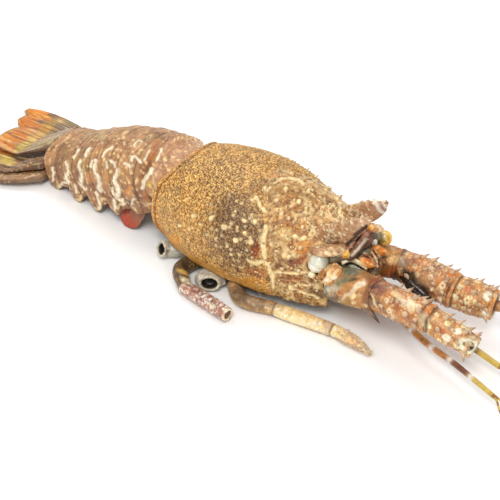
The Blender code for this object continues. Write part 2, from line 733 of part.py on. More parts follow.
def make_antennae(materials, group, cutters):
    """Make both antennal stalks and the whole left feeler."""
    start_plane = (np.array((ANTENNA_ROOT_X, 0.0, 0.0)), np.array((1.0, 0.0, 0.0)))
    sizes_r = (((23, 25), (23, 24), (19, 20)), ((18.4, 19), (19, 20), (17, 17.5)),
               ((15.8, 16.6), (14.8, 15.4), (12.0, 12.6)))
    sizes_l = (((19.5, 24), (20, 23), (20, 20)), ((20, 20), (24.5, 22), (23, 20.5)),
               ((22, 20), (23, 20.5), (19.5, 17)))
    for tag, joints, rows in (("R", ANTENNA_R, sizes_r), ("L", ANTENNA_L, sizes_l)):
        joints = [mm_vectors(p) for p in joints]
        for k in range(3):
            a, b = joints[k], joints[k + 1]
            path = [a, a + (b - a) * 0.5, b]
            start = start_plane if k == 0 else mitre(joints[k - 1], a, b, GAP / 2)
            end = mitre(a, b, joints[k + 2], -GAP / 2) if k < 2 else None
            hollow = (1.6, 6.0) if tag == "R" and k == 2 else None
            rings = limb_rings(path, rows[k], sides=12, start=start, end=end, hollow=hollow)
            node = loft(f"antenna_{tag}_{k + 1}", rings, materials["antenna"], group)
            if k == 0:
                root, tip = JOINT_SPUR[tag]
                spur = spine_mesh(root, tip, SPUR_RADIUS, 8)
                fuse(node, [add_mesh("spur", spur, materials["antenna"], cutters)], cutters)
                continue
            pieces = antenna_spines(path, rows[k], ANTENNA_SPINE_LENGTH,
                                    materials["antenna"], cutters)
            if k == 1:
                pad = limb_rings(PAD_PATH[tag], PAD_SIZES, sides=8)
                pieces.append(loft("pad", pad, materials["antenna"], cutters))
            fuse(node, pieces, cutters)
    make_feeler(materials["feeler"], group)


def smooth_route(points, values, steps):
    """Give points and values on a smooth curve through a route."""
    points = mm_vectors(points)
    along = np.concatenate(([0.0], np.cumsum(np.linalg.norm(np.diff(points, axis=0), axis=1))))
    slopes = np.gradient(points, along, axis=0)
    where = np.linspace(0.0, along[-1], steps)
    out = []
    for s in where:
        k = min(int(np.searchsorted(along, s, side="right")) - 1, len(points) - 2)
        span = along[k + 1] - along[k]
        t = (s - along[k]) / span
        h00 = 2 * t ** 3 - 3 * t ** 2 + 1
        h10 = t ** 3 - 2 * t ** 2 + t
        h01 = -2 * t ** 3 + 3 * t ** 2
        h11 = t ** 3 - t ** 2
        out.append(h00 * points[k] + h10 * span * slopes[k]
                   + h01 * points[k + 1] + h11 * span * slopes[k + 1])
    return np.array(out), np.interp(where, along, values)


def make_feeler(material, group):
    """Make the left feeler in two lengths."""
    points, widths = smooth_route(FEELER_L, FEELER_D, 43)
    last_step = unit(mm_vectors(ANTENNA_L[3]) - mm_vectors(ANTENNA_L[2]))
    for part in range(2):
        first, last = part * 21, part * 21 + 21
        piece = points[first:last + 1]
        size = [(w, w) for w in widths[first:last + 1]]
        before = (points[0] + last_step * GAP, last_step)
        after = None
        if part:
            before = mitre(points[first - 1], points[first], points[first + 1], GAP / 2)
        if part == 0:
            after = mitre(points[last - 1], points[last], points[last + 1], -GAP / 2)
        rings = limb_rings(piece, size, sides=8, start=before, end=after)
        loft(f"feeler_L_{part + 1}", rings, material, group)


def make_antennules(material, group):
    """Make the antennules, each a banded stalk with two short whips."""
    face = (np.array((84.0 + GAP, 0.0, 0.0)), np.array((1.0, 0.0, 0.0)))
    for tag, route, spread in (("R", ANTENNULE_R, 1.0), ("L", ANTENNULE_L, -1.0)):
        widths = ANTENNULE_D[:len(route)]
        points, width = smooth_route(route, widths, 15)
        rings = limb_rings(points, [(w, w) for w in width], sides=8, start=face)
        loft(f"antennule_{tag}", rings, material, group)
        end = points[-1]
        ahead = unit(points[-1] - points[-2])
        aside = np.array((-ahead[1], ahead[0], 0.0)) * spread
        for k, (turn, reach) in enumerate(((0.35, 18.0), (-0.55, 13.0))):
            root = end + ahead * GAP + aside * (0.85 if k == 0 else -0.85)
            heading = unit(ahead + aside * turn + np.array((0, 0, -0.12)))
            path = [root, root + ahead * 3.0, root + ahead * 3.0 + heading * reach * 0.5,
                    root + ahead * 3.0 + heading * reach]
            sizes = ((1.4, 1.4), (1.4, 1.4), (1.2, 1.2), (0.8, 0.8))
            rings = limb_rings(path, sizes, sides=6)
            loft(f"antennule_{tag}_whip_{k + 1}", rings, material, group)


def leg_segment(name, path, sizes, before, after, material, group, root_side=0, hollow=None,
                low=0.6, sides=10):
    """Make one leg segment between the points that come before and after it."""
    start = None
    if root_side:
        start = sternum_plane(root_side, GAP)
    elif before is not None:
        start = mitre(before, path[0], path[1], GAP / 2)
    end = None
    if after is not None:
        end = mitre(path[-2], path[-1], after, -GAP / 2)
    rings = limb_rings(path, sizes, sides=sides, start=start, end=end, hollow=hollow, floor=low)
    return loft(name, rings, material, group)


def make_right_legs(material, group):
    """Make the near legs: stumps 1, 3 and 5, the cut leg 4 and the whole leg 2."""
    roots = [(x, -sternum_half_width(x), LEG_ROOT_Z) for x in LEG_ROOT_X]
    leg_segment("leg_R1_stump", (roots[0], (20.5, -27, 5.9), (21.5, -33, 6.2)),
                ((10, 10), (10.4, 10), (9.4, 9.4)), None, None, material, group,
                root_side=-1, hollow=(1.4, 3.0))
    hip = (4.5, -38.0, 5.8)
    bend = (13.5, -46.2, 5.4)
    knee = (38.5, -42.0, 5.2)
    wrist = (77.8, -36.2, 4.8)
    tip = (107.0, -38.6, 2.8)
    leg_segment("leg_R2_upper", (roots[1], hip, bend, knee),
                ((10.6, 11), (10.4, 11), (9.4, 10), (8.4, 9)), None, wrist, material, group,
                root_side=-1)
    leg_segment("leg_R2_lower", (knee, (46, -41.0, 5.2), (60, -38.8, 5.2), wrist),
                ((8.2, 8.8), (9, 9.6), (8.8, 9.2), (7.8, 8.4)), bend, tip,
                material, group)
    leg_segment("leg_R2_claw", (wrist, (84, -36.2, 4.9), (96, -37.0, 4.2), tip),
                ((7.4, 8), (8, 8), (6.4, 6.4), (1.4, 1.4)), knee, None, material, group)
    leg_segment("leg_R3_stump", (roots[2], (-12.9, -37, 5.8), (-11.2, -45.5, 6.6),
                                 (-8.0, -50.0, 7.4)),
                ((10.4, 12), (10.4, 18), (11, 21), (10.6, 13)), None, None, material, group,
                root_side=-1, hollow=(1.2, 5.0))
    bend = (-34.5, -45.5, 5.6)
    knee = (-20.0, -60.2, 5.4)
    cut = (19.2, -65.2, 5.8)
    leg_segment("leg_R4_upper", (roots[3], (-33.5, -38, 5.8), bend, knee),
                ((10.6, 10.6), (10.6, 11), (10, 11), (8.6, 8.8)), None, cut, material, group,
                root_side=-1)
    leg_segment("leg_R4_lower", (knee, (-13, -61.0, 5.6), (5, -63.4, 5.8), cut),
                ((8.6, 8.8), (10, 10), (9.8, 9.8), (9, 9)), bend, None, material, group,
                hollow=(1.5, 2.0))
    leg_segment("leg_R5_stump", (roots[4], (-49.5, -33, 5.9), (-55.0, -36.8, 6.3),
                                 (-56.8, -41.4, 8.4)),
                ((9.6, 9), (10, 10), (10.8, 10.8), (10.8, 10.8)), None, None, material, group,
                root_side=-1, hollow=(1.2, 5.0))


def make_left_legs(material, group):
    """Make the five whole far legs, folded back beside the body on the floor."""
    plans = (((26, 49), (50, 59, 8.5), (10, 84)),
             ((8, 50.5), (26, 62, 11), (-18, 88)),
             ((-11, 51.5), (-1, 63, 12), (-46, 92)),
             ((-33, 50), (-27, 64, 13), (-74, 98)),
             ((-55, 46), (-54, 62, 12), (-98, 92)))
    for index, (hip_xy, knee, toe_xy) in enumerate(plans):
        tag = f"leg_L{index + 1}"
        root = (LEG_ROOT_X[index], sternum_half_width(LEG_ROOT_X[index]), LEG_ROOT_Z)
        hip = (hip_xy[0], hip_xy[1], 6.0)
        toe = (toe_xy[0], toe_xy[1], 1.0)
        ankle = tuple(a + (b - a) * 0.24 for a, b in zip(knee, toe))
        ankle = (ankle[0], ankle[1], ankle[2] + 2.0)
        foot = tuple(a + (b - a) * 0.62 for a, b in zip(ankle, toe))
        under = tuple(a + (b - a) * 0.6 for a, b in zip(root, hip))
        leg_segment(f"{tag}_upper", (root, under, hip, knee),
                    ((10.4, 11), (10, 10.4), (9.6, 10), (8.0, 8.2)), None, ankle, material,
                    group, root_side=1)
        leg_segment(f"{tag}_lower", (knee, ankle, foot, toe),
                    ((7.8, 8.0), (7.4, 7.6), (6, 6), (2.0, 2.0)), hip, None, material,
                    group, low=0.0)


def make_mouth_limbs(material, group):
    """Make the third maxillipeds, which lie forward under the head."""
    face = (np.array((STERNUM_FRONT[0] + GAP, 0.0, 0.0)), np.array((1.0, 0.0, 0.0)))
    for side, tag in ((-1, "R"), (1, "L")):
        path = ((45, side * 6.0, 8.0), (58, side * 7.0, 7.0), (72, side * 7.0, 7.6),
                (84, side * 5.8, 10.0), (92, side * 4.6, 12.0))
        sizes = ((9, 8.6), (8.6, 8), (8, 7.4), (6.4, 6), (1.6, 1.6))
        rings = limb_rings(path, sizes, sides=8, start=face, floor=0.8)
        loft(f"maxilliped_{tag}", rings, material, group)


def main():
    """Build the whole lobster."""
    random.seed(SEED)
    clear_scene()
    group = make_collection(COLLECTION)
    cutters = make_collection("cutters")
    cutters.hide_render = True
    shell = make_material("carapace_shell", (0.50, 0.31, 0.13), 0.55)
    abdomen = make_material("abdomen_shell", (0.36, 0.22, 0.15), 0.5)
    fan = make_material("tail_fan", (0.55, 0.30, 0.09), 0.5)
    sternum = make_material("sternum_plate", (0.62, 0.47, 0.28), 0.55)
    flap = make_material("swimmeret_skin", (0.45, 0.12, 0.07), 0.5)
    leg = make_material("leg_shell", (0.46, 0.28, 0.12), 0.5)
    soft = {
        "antenna": make_material("antenna_shell", (0.48, 0.22, 0.12), 0.5),
        "feeler": make_material("feeler_shell", (0.42, 0.20, 0.10), 0.5),
        "stalk": make_material("eyestalk_skin", (0.30, 0.17, 0.13), 0.45),
        "eye": make_material("eye_cornea", (0.42, 0.42, 0.40), 0.2),
        "head": make_material("head_plate", (0.42, 0.30, 0.20), 0.5),
    }
    make_carapace(shell, group, cutters)
    make_sternum(sternum, group)
    make_head(soft["head"], group, cutters)
    make_eyes(soft, group)
    make_abdomen(abdomen, group)
    make_tail_fan(fan, group)
    make_swimmerets(flap, group)
    make_antennae(soft, group, cutters)
    make_antennules(soft["feeler"], group)
    make_mouth_limbs(leg, group)
    make_right_legs(leg, group)
    make_left_legs(leg, group)


main()
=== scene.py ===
import math
import random

import bpy
import numpy as np
from mathutils import Matrix, Vector


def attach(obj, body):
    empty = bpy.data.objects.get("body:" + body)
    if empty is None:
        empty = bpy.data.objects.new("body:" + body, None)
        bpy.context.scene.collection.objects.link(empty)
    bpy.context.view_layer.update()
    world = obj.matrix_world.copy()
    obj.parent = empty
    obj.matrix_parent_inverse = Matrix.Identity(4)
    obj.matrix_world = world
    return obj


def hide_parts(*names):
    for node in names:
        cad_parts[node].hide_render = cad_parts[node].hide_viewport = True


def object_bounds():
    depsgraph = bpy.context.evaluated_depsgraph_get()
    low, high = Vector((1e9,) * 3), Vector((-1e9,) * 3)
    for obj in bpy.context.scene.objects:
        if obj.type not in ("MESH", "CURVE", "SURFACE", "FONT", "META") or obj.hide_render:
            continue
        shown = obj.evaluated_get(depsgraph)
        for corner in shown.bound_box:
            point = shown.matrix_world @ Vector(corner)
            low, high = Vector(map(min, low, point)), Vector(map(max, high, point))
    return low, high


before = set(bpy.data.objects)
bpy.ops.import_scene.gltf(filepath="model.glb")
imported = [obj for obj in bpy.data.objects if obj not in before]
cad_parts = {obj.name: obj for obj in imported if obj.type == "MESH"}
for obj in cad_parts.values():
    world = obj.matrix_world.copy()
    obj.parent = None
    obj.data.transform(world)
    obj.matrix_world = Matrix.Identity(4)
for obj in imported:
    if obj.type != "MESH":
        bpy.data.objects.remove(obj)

CAD_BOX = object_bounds()
MM = 0.001
SEED = 7
GAP = 0.34
BODY = "root"

# Camera: the photo's framing, in degrees, millimetres and pixels of a 500 px picture
CAM_AZIMUTH = 36.0
CAM_ELEVATION = 37.0
CAM_ROLL = 1.0
CAM_DISTANCE = 700.0
CAM_FOCAL = 1020.0
CAM_TARGET = (-15.0, 3.5, 0.0)
PICTURE = 500.0
SENSOR = 36.0

# Carapace sizes along the body, as in the solids
BODY_X = (-72, -60, -47, -26, -7, 8, 26, 44, 62, 74)
DORSAL_Z = (62.5, 65.2, 69.0, 72.8, 73.4, 71.8, 67.8, 61.6, 55.4, 51)
HALF_WIDTH = (32.5, 35, 40.5, 44, 46, 45, 42, 36.5, 29.5, 24)
MARGIN_HALF_WIDTH = (30.5, 33, 38.8, 42.6, 44.5, 43.3, 40, 34.9, 28.8, 23.8)
MARGIN_Z = (17, 15.0, 12.6, 12.2, 12.4, 12.4, 11.2, 10.4, 10.8, 12.8)
ARCH_POWER = (0.92, 0.92, 0.92, 0.92, 0.94, 1.0, 1.12, 1.2, 1.2, 1.1)
WIDEST_Z = 34.0
ARCH_END = 90.0
MARGIN_ANGLE = 150.0
FRONT_MARGIN = ((0, 69.5), (22, 70), (34, 66), (44, 58), (54, 52.6), (74, 52.6),
                (86, 60), (96, 63.5), (120, 66.5), (150, 66.5))
REAR_MARGIN = ((0, -57), (20, -57.5), (40, -62), (60, -68), (80, -69.5), (110, -71),
               (135, -68.5), (150, -64))
SHELL_THICK = 2.6
UNDERSIDE_Z = 20.3
RECESS_X = (-50.0, 50.0)
GROOVE_DEPTH = 1.6
GROOVE_WIDTH = 3.4
GROOVE_LINE = ((2, 0), (6, 14), (16, 30), (25, 48), (30, 70), (33, 95), (36, 120))
# Rows of spines: angle, first and last x, step, length at the front and at the rear
SPINE_ROWS = ((15, 46, -6, 8.6, 4.2, 1.9), (33, 40, -4, 9.0, 4.6, 2.1),
              (50, 45, -2, 9.2, 4.6, 2.2), (67, 42, 2, 9.4, 4.3, 2.2),
              (84, 50, 6, 9.6, 4.2, 2.3), (103, 57, 12, 10.4, 3.6, 2.2))
HORN_PATH = ((50, 13.5, 49.5), (60, 13.2, 57), (69, 12.8, 63), (76, 12.4, 69.6))
HORN_TIP = {-1: (84.2, -11.5, 78.5), 1: (80, 13, 74.5)}
HORN_SIZES = ((16, 10), (13, 9), (13.5, 7), (9.5, 5), (2.2, 1.4))

# Abdomen joints: dorsal point x and z, tilt of the joint plane, half-width, body depth
ABDOMEN_JOINTS = ((-50.3, 62.4, 0, 27.6, 39.0), (-82, 64.6, 14, 31.6, 40.5),
                  (-108, 60.6, 17, 32, 39), (-129, 54.6, 19, 31, 36.5),
                  (-148, 45.8, 19, 29.5, 32.5), (-164, 38.0, 16, 28, 27),
                  (-184, 33.0, 6, 25, 22.5))
PLEURON_DEPTH = (43.5, 46.5, 51.5, 50.5, 42.5, 35.0)
PLEURON_THICK = 2.4
WIDEST_DEPTH = 0.62

# Tones, mesh counts, small limits, axes, sides, floor and light
SHELL_TONE = (0.98, 0.91, 0.78)
ABDOMEN_TONE = (0.94, 0.87, 0.78)
STALK_TONES = ((0.94, 0.86, 0.72), (1.0, 1.0, 1.0), (1.03, 1.1, 1.02))
CARAPACE_GRID = (320, 401)
ABDOMEN_GRID = (58, 150)
FAN_GRID = (72, 130)
ANTENNA_GRID = (120, 150)
FEELER_GRID = (520, 28)
FEELER_HAIRS = 120
FEELER_LIMIT = (520.2, 243.6)
SPINULES = 230
MOUTH_BRISTLES = 160
FLAP_LOWEST = 0.8
HOLLOW_NARROWING = 0.9
MIRROR = np.array((1.0, -1.0, 1.0))
X_AXIS, Y_AXIS, Z_AXIS = np.eye(3)
SIDES = ((-1, "R"), (1, "L"))
FLOOR_REACH = 6.0
FLOOR_WHITE = (0.95, 0.95, 0.95)
FLOOR_ROUGHNESS = 0.9
WORLD_STRENGTH = 0.74
LIGHT_TARGET = (0, 0, 0.03)
# Lamps: name, place, size, power and colour
LAMPS = (("key", (0.35, -0.75, 1.25), 0.7, 11.0, (1.0, 0.98, 0.95)),
         ("top", (-0.5, 0.5, 1.2), 0.9, 5.0, (0.98, 0.99, 1.0)))
CLIP_RANGE = (0.01, 30.0)

# Tail fan
FAN_X = (-184.4, -194, -206, -220, -236, -250, -265, -274.5)
FAN_LOW_Z = (5.4, 4.8, 3.8, 2.7, 1.6, 0.8, 0.2, 0.0)
FAN_THICK = 1.5
FAN_LEVEL_STEP = 2.7
FAN_LIFT = {-1: 0.0, 1: 1.2}
FAN_SPREAD = {-1: 1.07, 1: 1.0}

# Antennae, antennules and eyes
ANTENNA_R = ((67.6, -18, 26), (99.5, -23.8, 35.4), (136, -25.9, 37.0), (165, -24.8, 29.6))
ANTENNA_L = ((67.6, 18, 25), (91, 21, 26.5), (130, 21.5, 24), (155, 24.5, 23.4))
ANTENNA_SIZES_R = (((23, 25), (23, 24), (19, 20)), ((18.4, 19), (19, 20), (17, 17.5)),
                   ((15.8, 16.6), (14.8, 15.4), (12.0, 12.6)))
ANTENNA_SIZES_L = (((19.5, 24), (20, 23), (20, 20)), ((20, 20), (24.5, 22), (23, 20.5)),
                   ((22, 20), (23, 20.5), (19.5, 17)))
FEELER_L = ((155, 24.5, 23.4), (172, 26.5, 26.8), (215, 34, 33), (270, 50, 34), (330, 78, 30),
            (390, 116, 22), (450, 165, 12), (500, 217, 5), (520, 244, 3.4))
FEELER_D = (7.2, 5.6, 4.9, 4.3, 3.6, 3.0, 2.4, 1.7, 1.2)
ANTENNULE_R = ((84.4, -2.4, 25), (98, -5, 17), (109, -8.5, 12.5), (131, -17.6, 11),
               (152.5, -23.0, 10.5), (183, -33.0, 10))
ANTENNULE_L = ((84.4, 2.6, 25), (104, 2.0, 16), (126, 0, 12), (150, -3.4, 11),
               (176, -9.5, 10.5))
ANTENNULE_D = (4.6, 4.4, 4.2, 4.0, 3.6, 3.0)
# Dark glossy pads between the antenna segments: a fringe of dark setae, and painted shade in the gap.
SETAE_AND_SHADE_PAD_PATH = {"R": ((103.0, -14.6, 33.0), (112.0, -13.4, 31.5), (121.0, -14.4, 30.5),
                  (127.0, -15.8, 30.5)),
            "L": ((95.0, 12.6, 26.0), (104.0, 10.4, 23.4), (114.0, 9.2, 20.6),
                  (120.5, 9.4, 18.8))}
SETAE_AND_SHADE_PAD_SIZES = ((3.4, 3.0), (8.6, 6.4), (7.6, 5.6), (2.0, 2.0))
JOINT_SPUR = {"R": ((93.5, -28.2, 28.0), (107.5, -32.2, 22.6)),
              "L": ((85.0, 26.4, 20.2), (96.5, 32.4, 14.0))}
SPUR_RADIUS = 2.6
EYE_R = (60.2, -28.4, 45.6)
EYE_L = (77.6, 19.9, 42.4)
EYE_RADIUS = (5.7, 4.9)
OCULAR_R = (71.6, -12.5, 45.4)
OCULAR_L = (72.6, 11.0, 46.2)
LEG_ROOT_X = (19.0, 3.0, -13.5, -30.0, -44.5)
LEG_ROOT_Z = 5.9
STERNUM_FRONT = (45.0, 12.0)
STERNUM_REAR = (-50.0, 29.0)


def srgb(red, green, blue):
    """Turn a colour of 0 to 255 into linear values."""
    rows = np.array((red, green, blue), float) / 255.0
    return np.where(rows <= 0.04045, rows / 12.92, ((rows + 0.055) / 1.055) ** 2.4)


OCHRE = srgb(160, 112, 56)
OCHRE_DARK = srgb(98, 64, 32)
GRANULE = srgb(252, 218, 146)
GOLD = srgb(212, 154, 56)
ORANGE_GOLD = srgb(236, 148, 34)
MAUVE_BROWN = srgb(118, 82, 58)
FRONT_TAN = srgb(170, 120, 74)
CREAM = srgb(248, 232, 192)
WHITE = srgb(246, 238, 222)
RUST = srgb(156, 82, 22)
DARK_BROWN = srgb(78, 46, 26)
HORN_SKIN = srgb(176, 128, 88)
PINK_TAN = srgb(192, 148, 108)
PINK_DARK = srgb(130, 90, 64)
SPOT = srgb(248, 224, 174)
ORANGE = srgb(210, 126, 36)
GREY_MAUVE = srgb(142, 110, 90)
OLIVE = srgb(168, 146, 84)
BRICK = srgb(178, 78, 44)
ANTENNA_BROWN = srgb(192, 132, 80)
ANTENNA_MAUVE = srgb(138, 84, 64)
OLIVE_YELLOW = srgb(206, 178, 84)
GREY_GREEN = srgb(138, 146, 128)
BLACK_BROWN = srgb(34, 24, 18)
MEMBRANE = srgb(206, 202, 188)
ORANGE_BROWN = srgb(208, 130, 58)


def smoothstep(value):
    """Ease values from 0 to 1."""
    value = np.clip(value, 0.0, 1.0)
    return value * value * (3.0 - 2.0 * value)


def ramp(value, low, high):
    """Ease from 0 at low to 1 at high."""
    return smoothstep((value - low) / (high - low))


def hill(value, centre, width):
    """Give a bell of height 1."""
    return np.exp(-((value - centre) / width) ** 2)


def deepen(colour, power):
    """Make colours richer and darker."""
    return np.clip(colour, 0.0, 1.0) ** power


def mix(colour, other, weight):
    """Blend rows of colour toward another colour."""
    return colour + (other - colour) * np.clip(weight, 0.0, 1.0)[..., None]


def blend(colour, *layers):
    """Blend colours on in order, each given with its weight."""
    for other, weight in layers:
        colour = mix(colour, other, weight)
    return colour


def soft_read(where, places, values, width):
    """Read a table with its corners rounded over a width."""
    total = 0.0
    taps = np.linspace(-1.0, 1.0, 7)
    weights = 1.1 - np.abs(taps)
    for tap, weight in zip(taps, weights):
        total = total + weight * np.interp(where + tap * width, places, values)
    return total / weights.sum()


def lattice(ix, iy, iz, seed):
    """Give a repeatable random number for every whole-number place."""
    n = (ix * 73856093) ^ (iy * 19349663) ^ (iz * 83492791) ^ (seed * 15485863)
    n = n & 0xFFFFFFFF
    n = ((n ^ (n >> 13)) * 1274126177) & 0xFFFFFFFF
    n = ((n ^ (n >> 15)) * 668265263) & 0xFFFFFFFF
    return (n ^ (n >> 16)) / 4294967296.0


def noise(points, pitch, seed):
    """Give smooth random values from -1 to 1 over space."""
    scaled = points / pitch
    base = np.floor(scaled).astype(np.int64)
    t = smoothstep(scaled - base)
    total = 0.0
    for dx in (0, 1):
        wx = t[..., 0] if dx else 1.0 - t[..., 0]
        for dy in (0, 1):
            wy = t[..., 1] if dy else 1.0 - t[..., 1]
            for dz in (0, 1):
                wz = t[..., 2] if dz else 1.0 - t[..., 2]
                value = lattice(base[..., 0] + dx, base[..., 1] + dy, base[..., 2] + dz, seed)
                total = total + wx * wy * wz * value
    return total * 2.0 - 1.0


def layered(points, pitch, seed, layers=3):
    """Add finer and weaker layers of noise."""
    total = 0.0
    reach = 0.0
    for k in range(layers):
        total = total + noise(points, pitch / 2 ** k, seed + k) / 2 ** k
        reach += 1.0 / 2 ** k
    return total / reach


def cells(points, pitch, seed):
    """Give the distance to the nearest of many scattered dots, in pitches, and its mark."""
    scaled = points / pitch
    base = np.floor(scaled).astype(np.int64)
    near = np.full(points.shape[:-1], 9.0)
    mark = np.zeros(points.shape[:-1])
    for dx in (-1, 0, 1):
        for dy in (-1, 0, 1):
            for dz in (-1, 0, 1):
                ix, iy, iz = base[..., 0] + dx, base[..., 1] + dy, base[..., 2] + dz
                px = ix + 0.15 + 0.7 * lattice(ix, iy, iz, seed)
                py = iy + 0.15 + 0.7 * lattice(ix, iy, iz, seed + 11)
                pz = iz + 0.15 + 0.7 * lattice(ix, iy, iz, seed + 23)
                away = np.sqrt((scaled[..., 0] - px) ** 2 + (scaled[..., 1] - py) ** 2
                               + (scaled[..., 2] - pz) ** 2)
                closer = away < near
                near = np.where(closer, away, near)
                mark = np.where(closer, lattice(ix, iy, iz, seed + 37), mark)
    return near, mark


def cell_dots(points, pitch, seed, inner, outer, least):
    """Give a mask of scattered dots; only those marked above the least show."""
    near, mark = cells(points, pitch, seed)
    return (1.0 - ramp(near, inner, outer)) * (mark > least)


def flat_cells(u, v, pitch, seed):
    """Give the distance to the nearest dot scattered over a surface, in pitches, and its mark."""
    su, sv = u / pitch, v / pitch
    bu, bv = np.floor(su).astype(np.int64), np.floor(sv).astype(np.int64)
    near = np.full(u.shape, 9.0)
    mark = np.zeros(u.shape)
    for du in (-1, 0, 1):
        for dv in (-1, 0, 1):
            iu, iv = bu + du, bv + dv
            pu = iu + 0.2 + 0.6 * lattice(iu, iv, 0 * iu, seed)
            pv = iv + 0.2 + 0.6 * lattice(iu, iv, 0 * iu, seed + 11)
            away = np.hypot(su - pu, sv - pv)
            closer = away < near
            near = np.where(closer, away, near)
            mark = np.where(closer, lattice(iu, iv, 0 * iu, seed + 37), mark)
    return near, mark


def dotted(u, v, pitch, seed, radius, share, soft=0.12):
    """Give a mask of round dots; share is how many of the places carry one."""
    near, mark = flat_cells(u, v, pitch, seed)
    size = radius * (0.7 + 0.6 * mark)
    return (1.0 - ramp(near, size - soft, size + soft)) * (mark > 1.0 - share)


def lengths_along(points):
    """Give the length along a line up to each of its points."""
    steps = np.linalg.norm(np.diff(points, axis=0), axis=1)
    return np.concatenate(([0.0], np.cumsum(steps)))


def ring_lengths(grid):
    """Give the length along the rings' middle and the length round each ring, in millimetres."""
    along = lengths_along(grid.mean(axis=1))
    around = np.linalg.norm(np.diff(grid, axis=1), axis=2)
    around = np.concatenate((np.zeros((len(grid), 1)), np.cumsum(around, axis=1)), axis=1)
    return np.broadcast_to(along[:, None], around.shape), around


def unit(vector):
    """Scale vectors to length 1."""
    return vector / np.maximum(np.linalg.norm(vector, axis=-1, keepdims=True), 1e-9)


def camera_axes():
    """Give the camera's right, up and backward directions."""
    a, e, r = (math.radians(v) for v in (CAM_AZIMUTH, CAM_ELEVATION, CAM_ROLL))
    back = np.array((math.sin(a) * math.cos(e), -math.cos(a) * math.cos(e), math.sin(e)))
    right = np.array((math.cos(a), math.sin(a), 0.0))
    up = np.cross(back, right)
    turned = right * math.cos(r) + up * math.sin(r)
    raised = -right * math.sin(r) + up * math.cos(r)
    return turned, raised, back


CAM_RIGHT, CAM_UP, CAM_BACK = camera_axes()
CAM_PLACE = np.array(CAM_TARGET) + CAM_BACK * CAM_DISTANCE


def picture_place(points):
    """Give where points fall in the photo's 500 px frame."""
    away = points - CAM_PLACE
    depth = -(away @ CAM_BACK)
    half = PICTURE / 2
    return np.stack((half + CAM_FOCAL * (away @ CAM_RIGHT) / depth,
                     half - CAM_FOCAL * (away @ CAM_UP) / depth), axis=-1)


def mark_frame(points, normals, wobble, seed=90):
    """Give the picture place that marks are set by, and how far a point takes marks.

    The far side, which the photo hides, takes the mirrored marks of the near side.
    """
    own = ramp(((CAM_PLACE - points) * normals).sum(-1) / CAM_DISTANCE, 0.02, 0.12)
    there = points * MIRROR
    mirrored = ramp(((CAM_PLACE - there) * (normals * MIRROR)).sum(-1) / CAM_DISTANCE, 0.02, 0.12)
    use_mirror = (points[..., 1] > 0) & (own < 0.5)
    place = np.where(use_mirror[..., None], picture_place(there), picture_place(points))
    shake = np.stack((noise(points, 4.0, seed), noise(points, 4.0, seed + 5)), axis=-1)
    return place + shake * wobble, np.where(use_mirror, mirrored, own)


def line_mark(place, route, width, soft):
    """Give a mask along a line of picture points."""
    nearest = np.full(place.shape[:-1], 999.0)
    route = np.array(route, float)
    for a, b in zip(route, route[1:]):
        run = b - a
        t = np.clip(((place - a) @ run) / (run @ run), 0.0, 1.0)
        foot = a + t[..., None] * run
        nearest = np.minimum(nearest, np.linalg.norm(place - foot, axis=-1))
    return 1.0 - ramp(nearest, width / 2 - soft / 2, width / 2 + soft)


def spot_mark(place, centre, radii, soft, turn=0.0):
    """Give a mask over an ellipse of picture points."""
    away = place - np.array(centre, float)
    c, s = math.cos(math.radians(turn)), math.sin(math.radians(turn))
    x = (away[..., 0] * c + away[..., 1] * s) / radii[0]
    y = (-away[..., 0] * s + away[..., 1] * c) / radii[1]
    return 1.0 - ramp(np.sqrt(x * x + y * y), 1.0 - soft, 1.0 + soft)


def add_marks(colour, table, place, seen, soft, gain=1.0):
    """Paint a table of ellipses: centre, radii, shade, strength and turn."""
    for centre, radii, shade, strength, turn in table:
        blot = spot_mark(place, centre, radii, soft, turn) * seen
        colour = mix(colour, shade, blot * strength * gain)
    return colour


def grid_normals(grid):
    """Give outward normals of a tube's grid of points, rings along the first axis."""
    along = np.gradient(grid, axis=0)
    around = np.roll(grid, -1, axis=1) - np.roll(grid, 1, axis=1)
    return unit(np.cross(around, along))


def add_node(tree, kind, values=None, sources=None, **options):
    """Add a shader node, set its options and values, and link its inputs."""
    made = tree.nodes.new(kind)
    for name, value in options.items():
        setattr(made, name, value)
    for name, value in (values or {}).items():
        made.inputs[name].default_value = value
    for name, source in (sources or {}).items():
        tree.links.new(source, made.inputs[name])
    return made


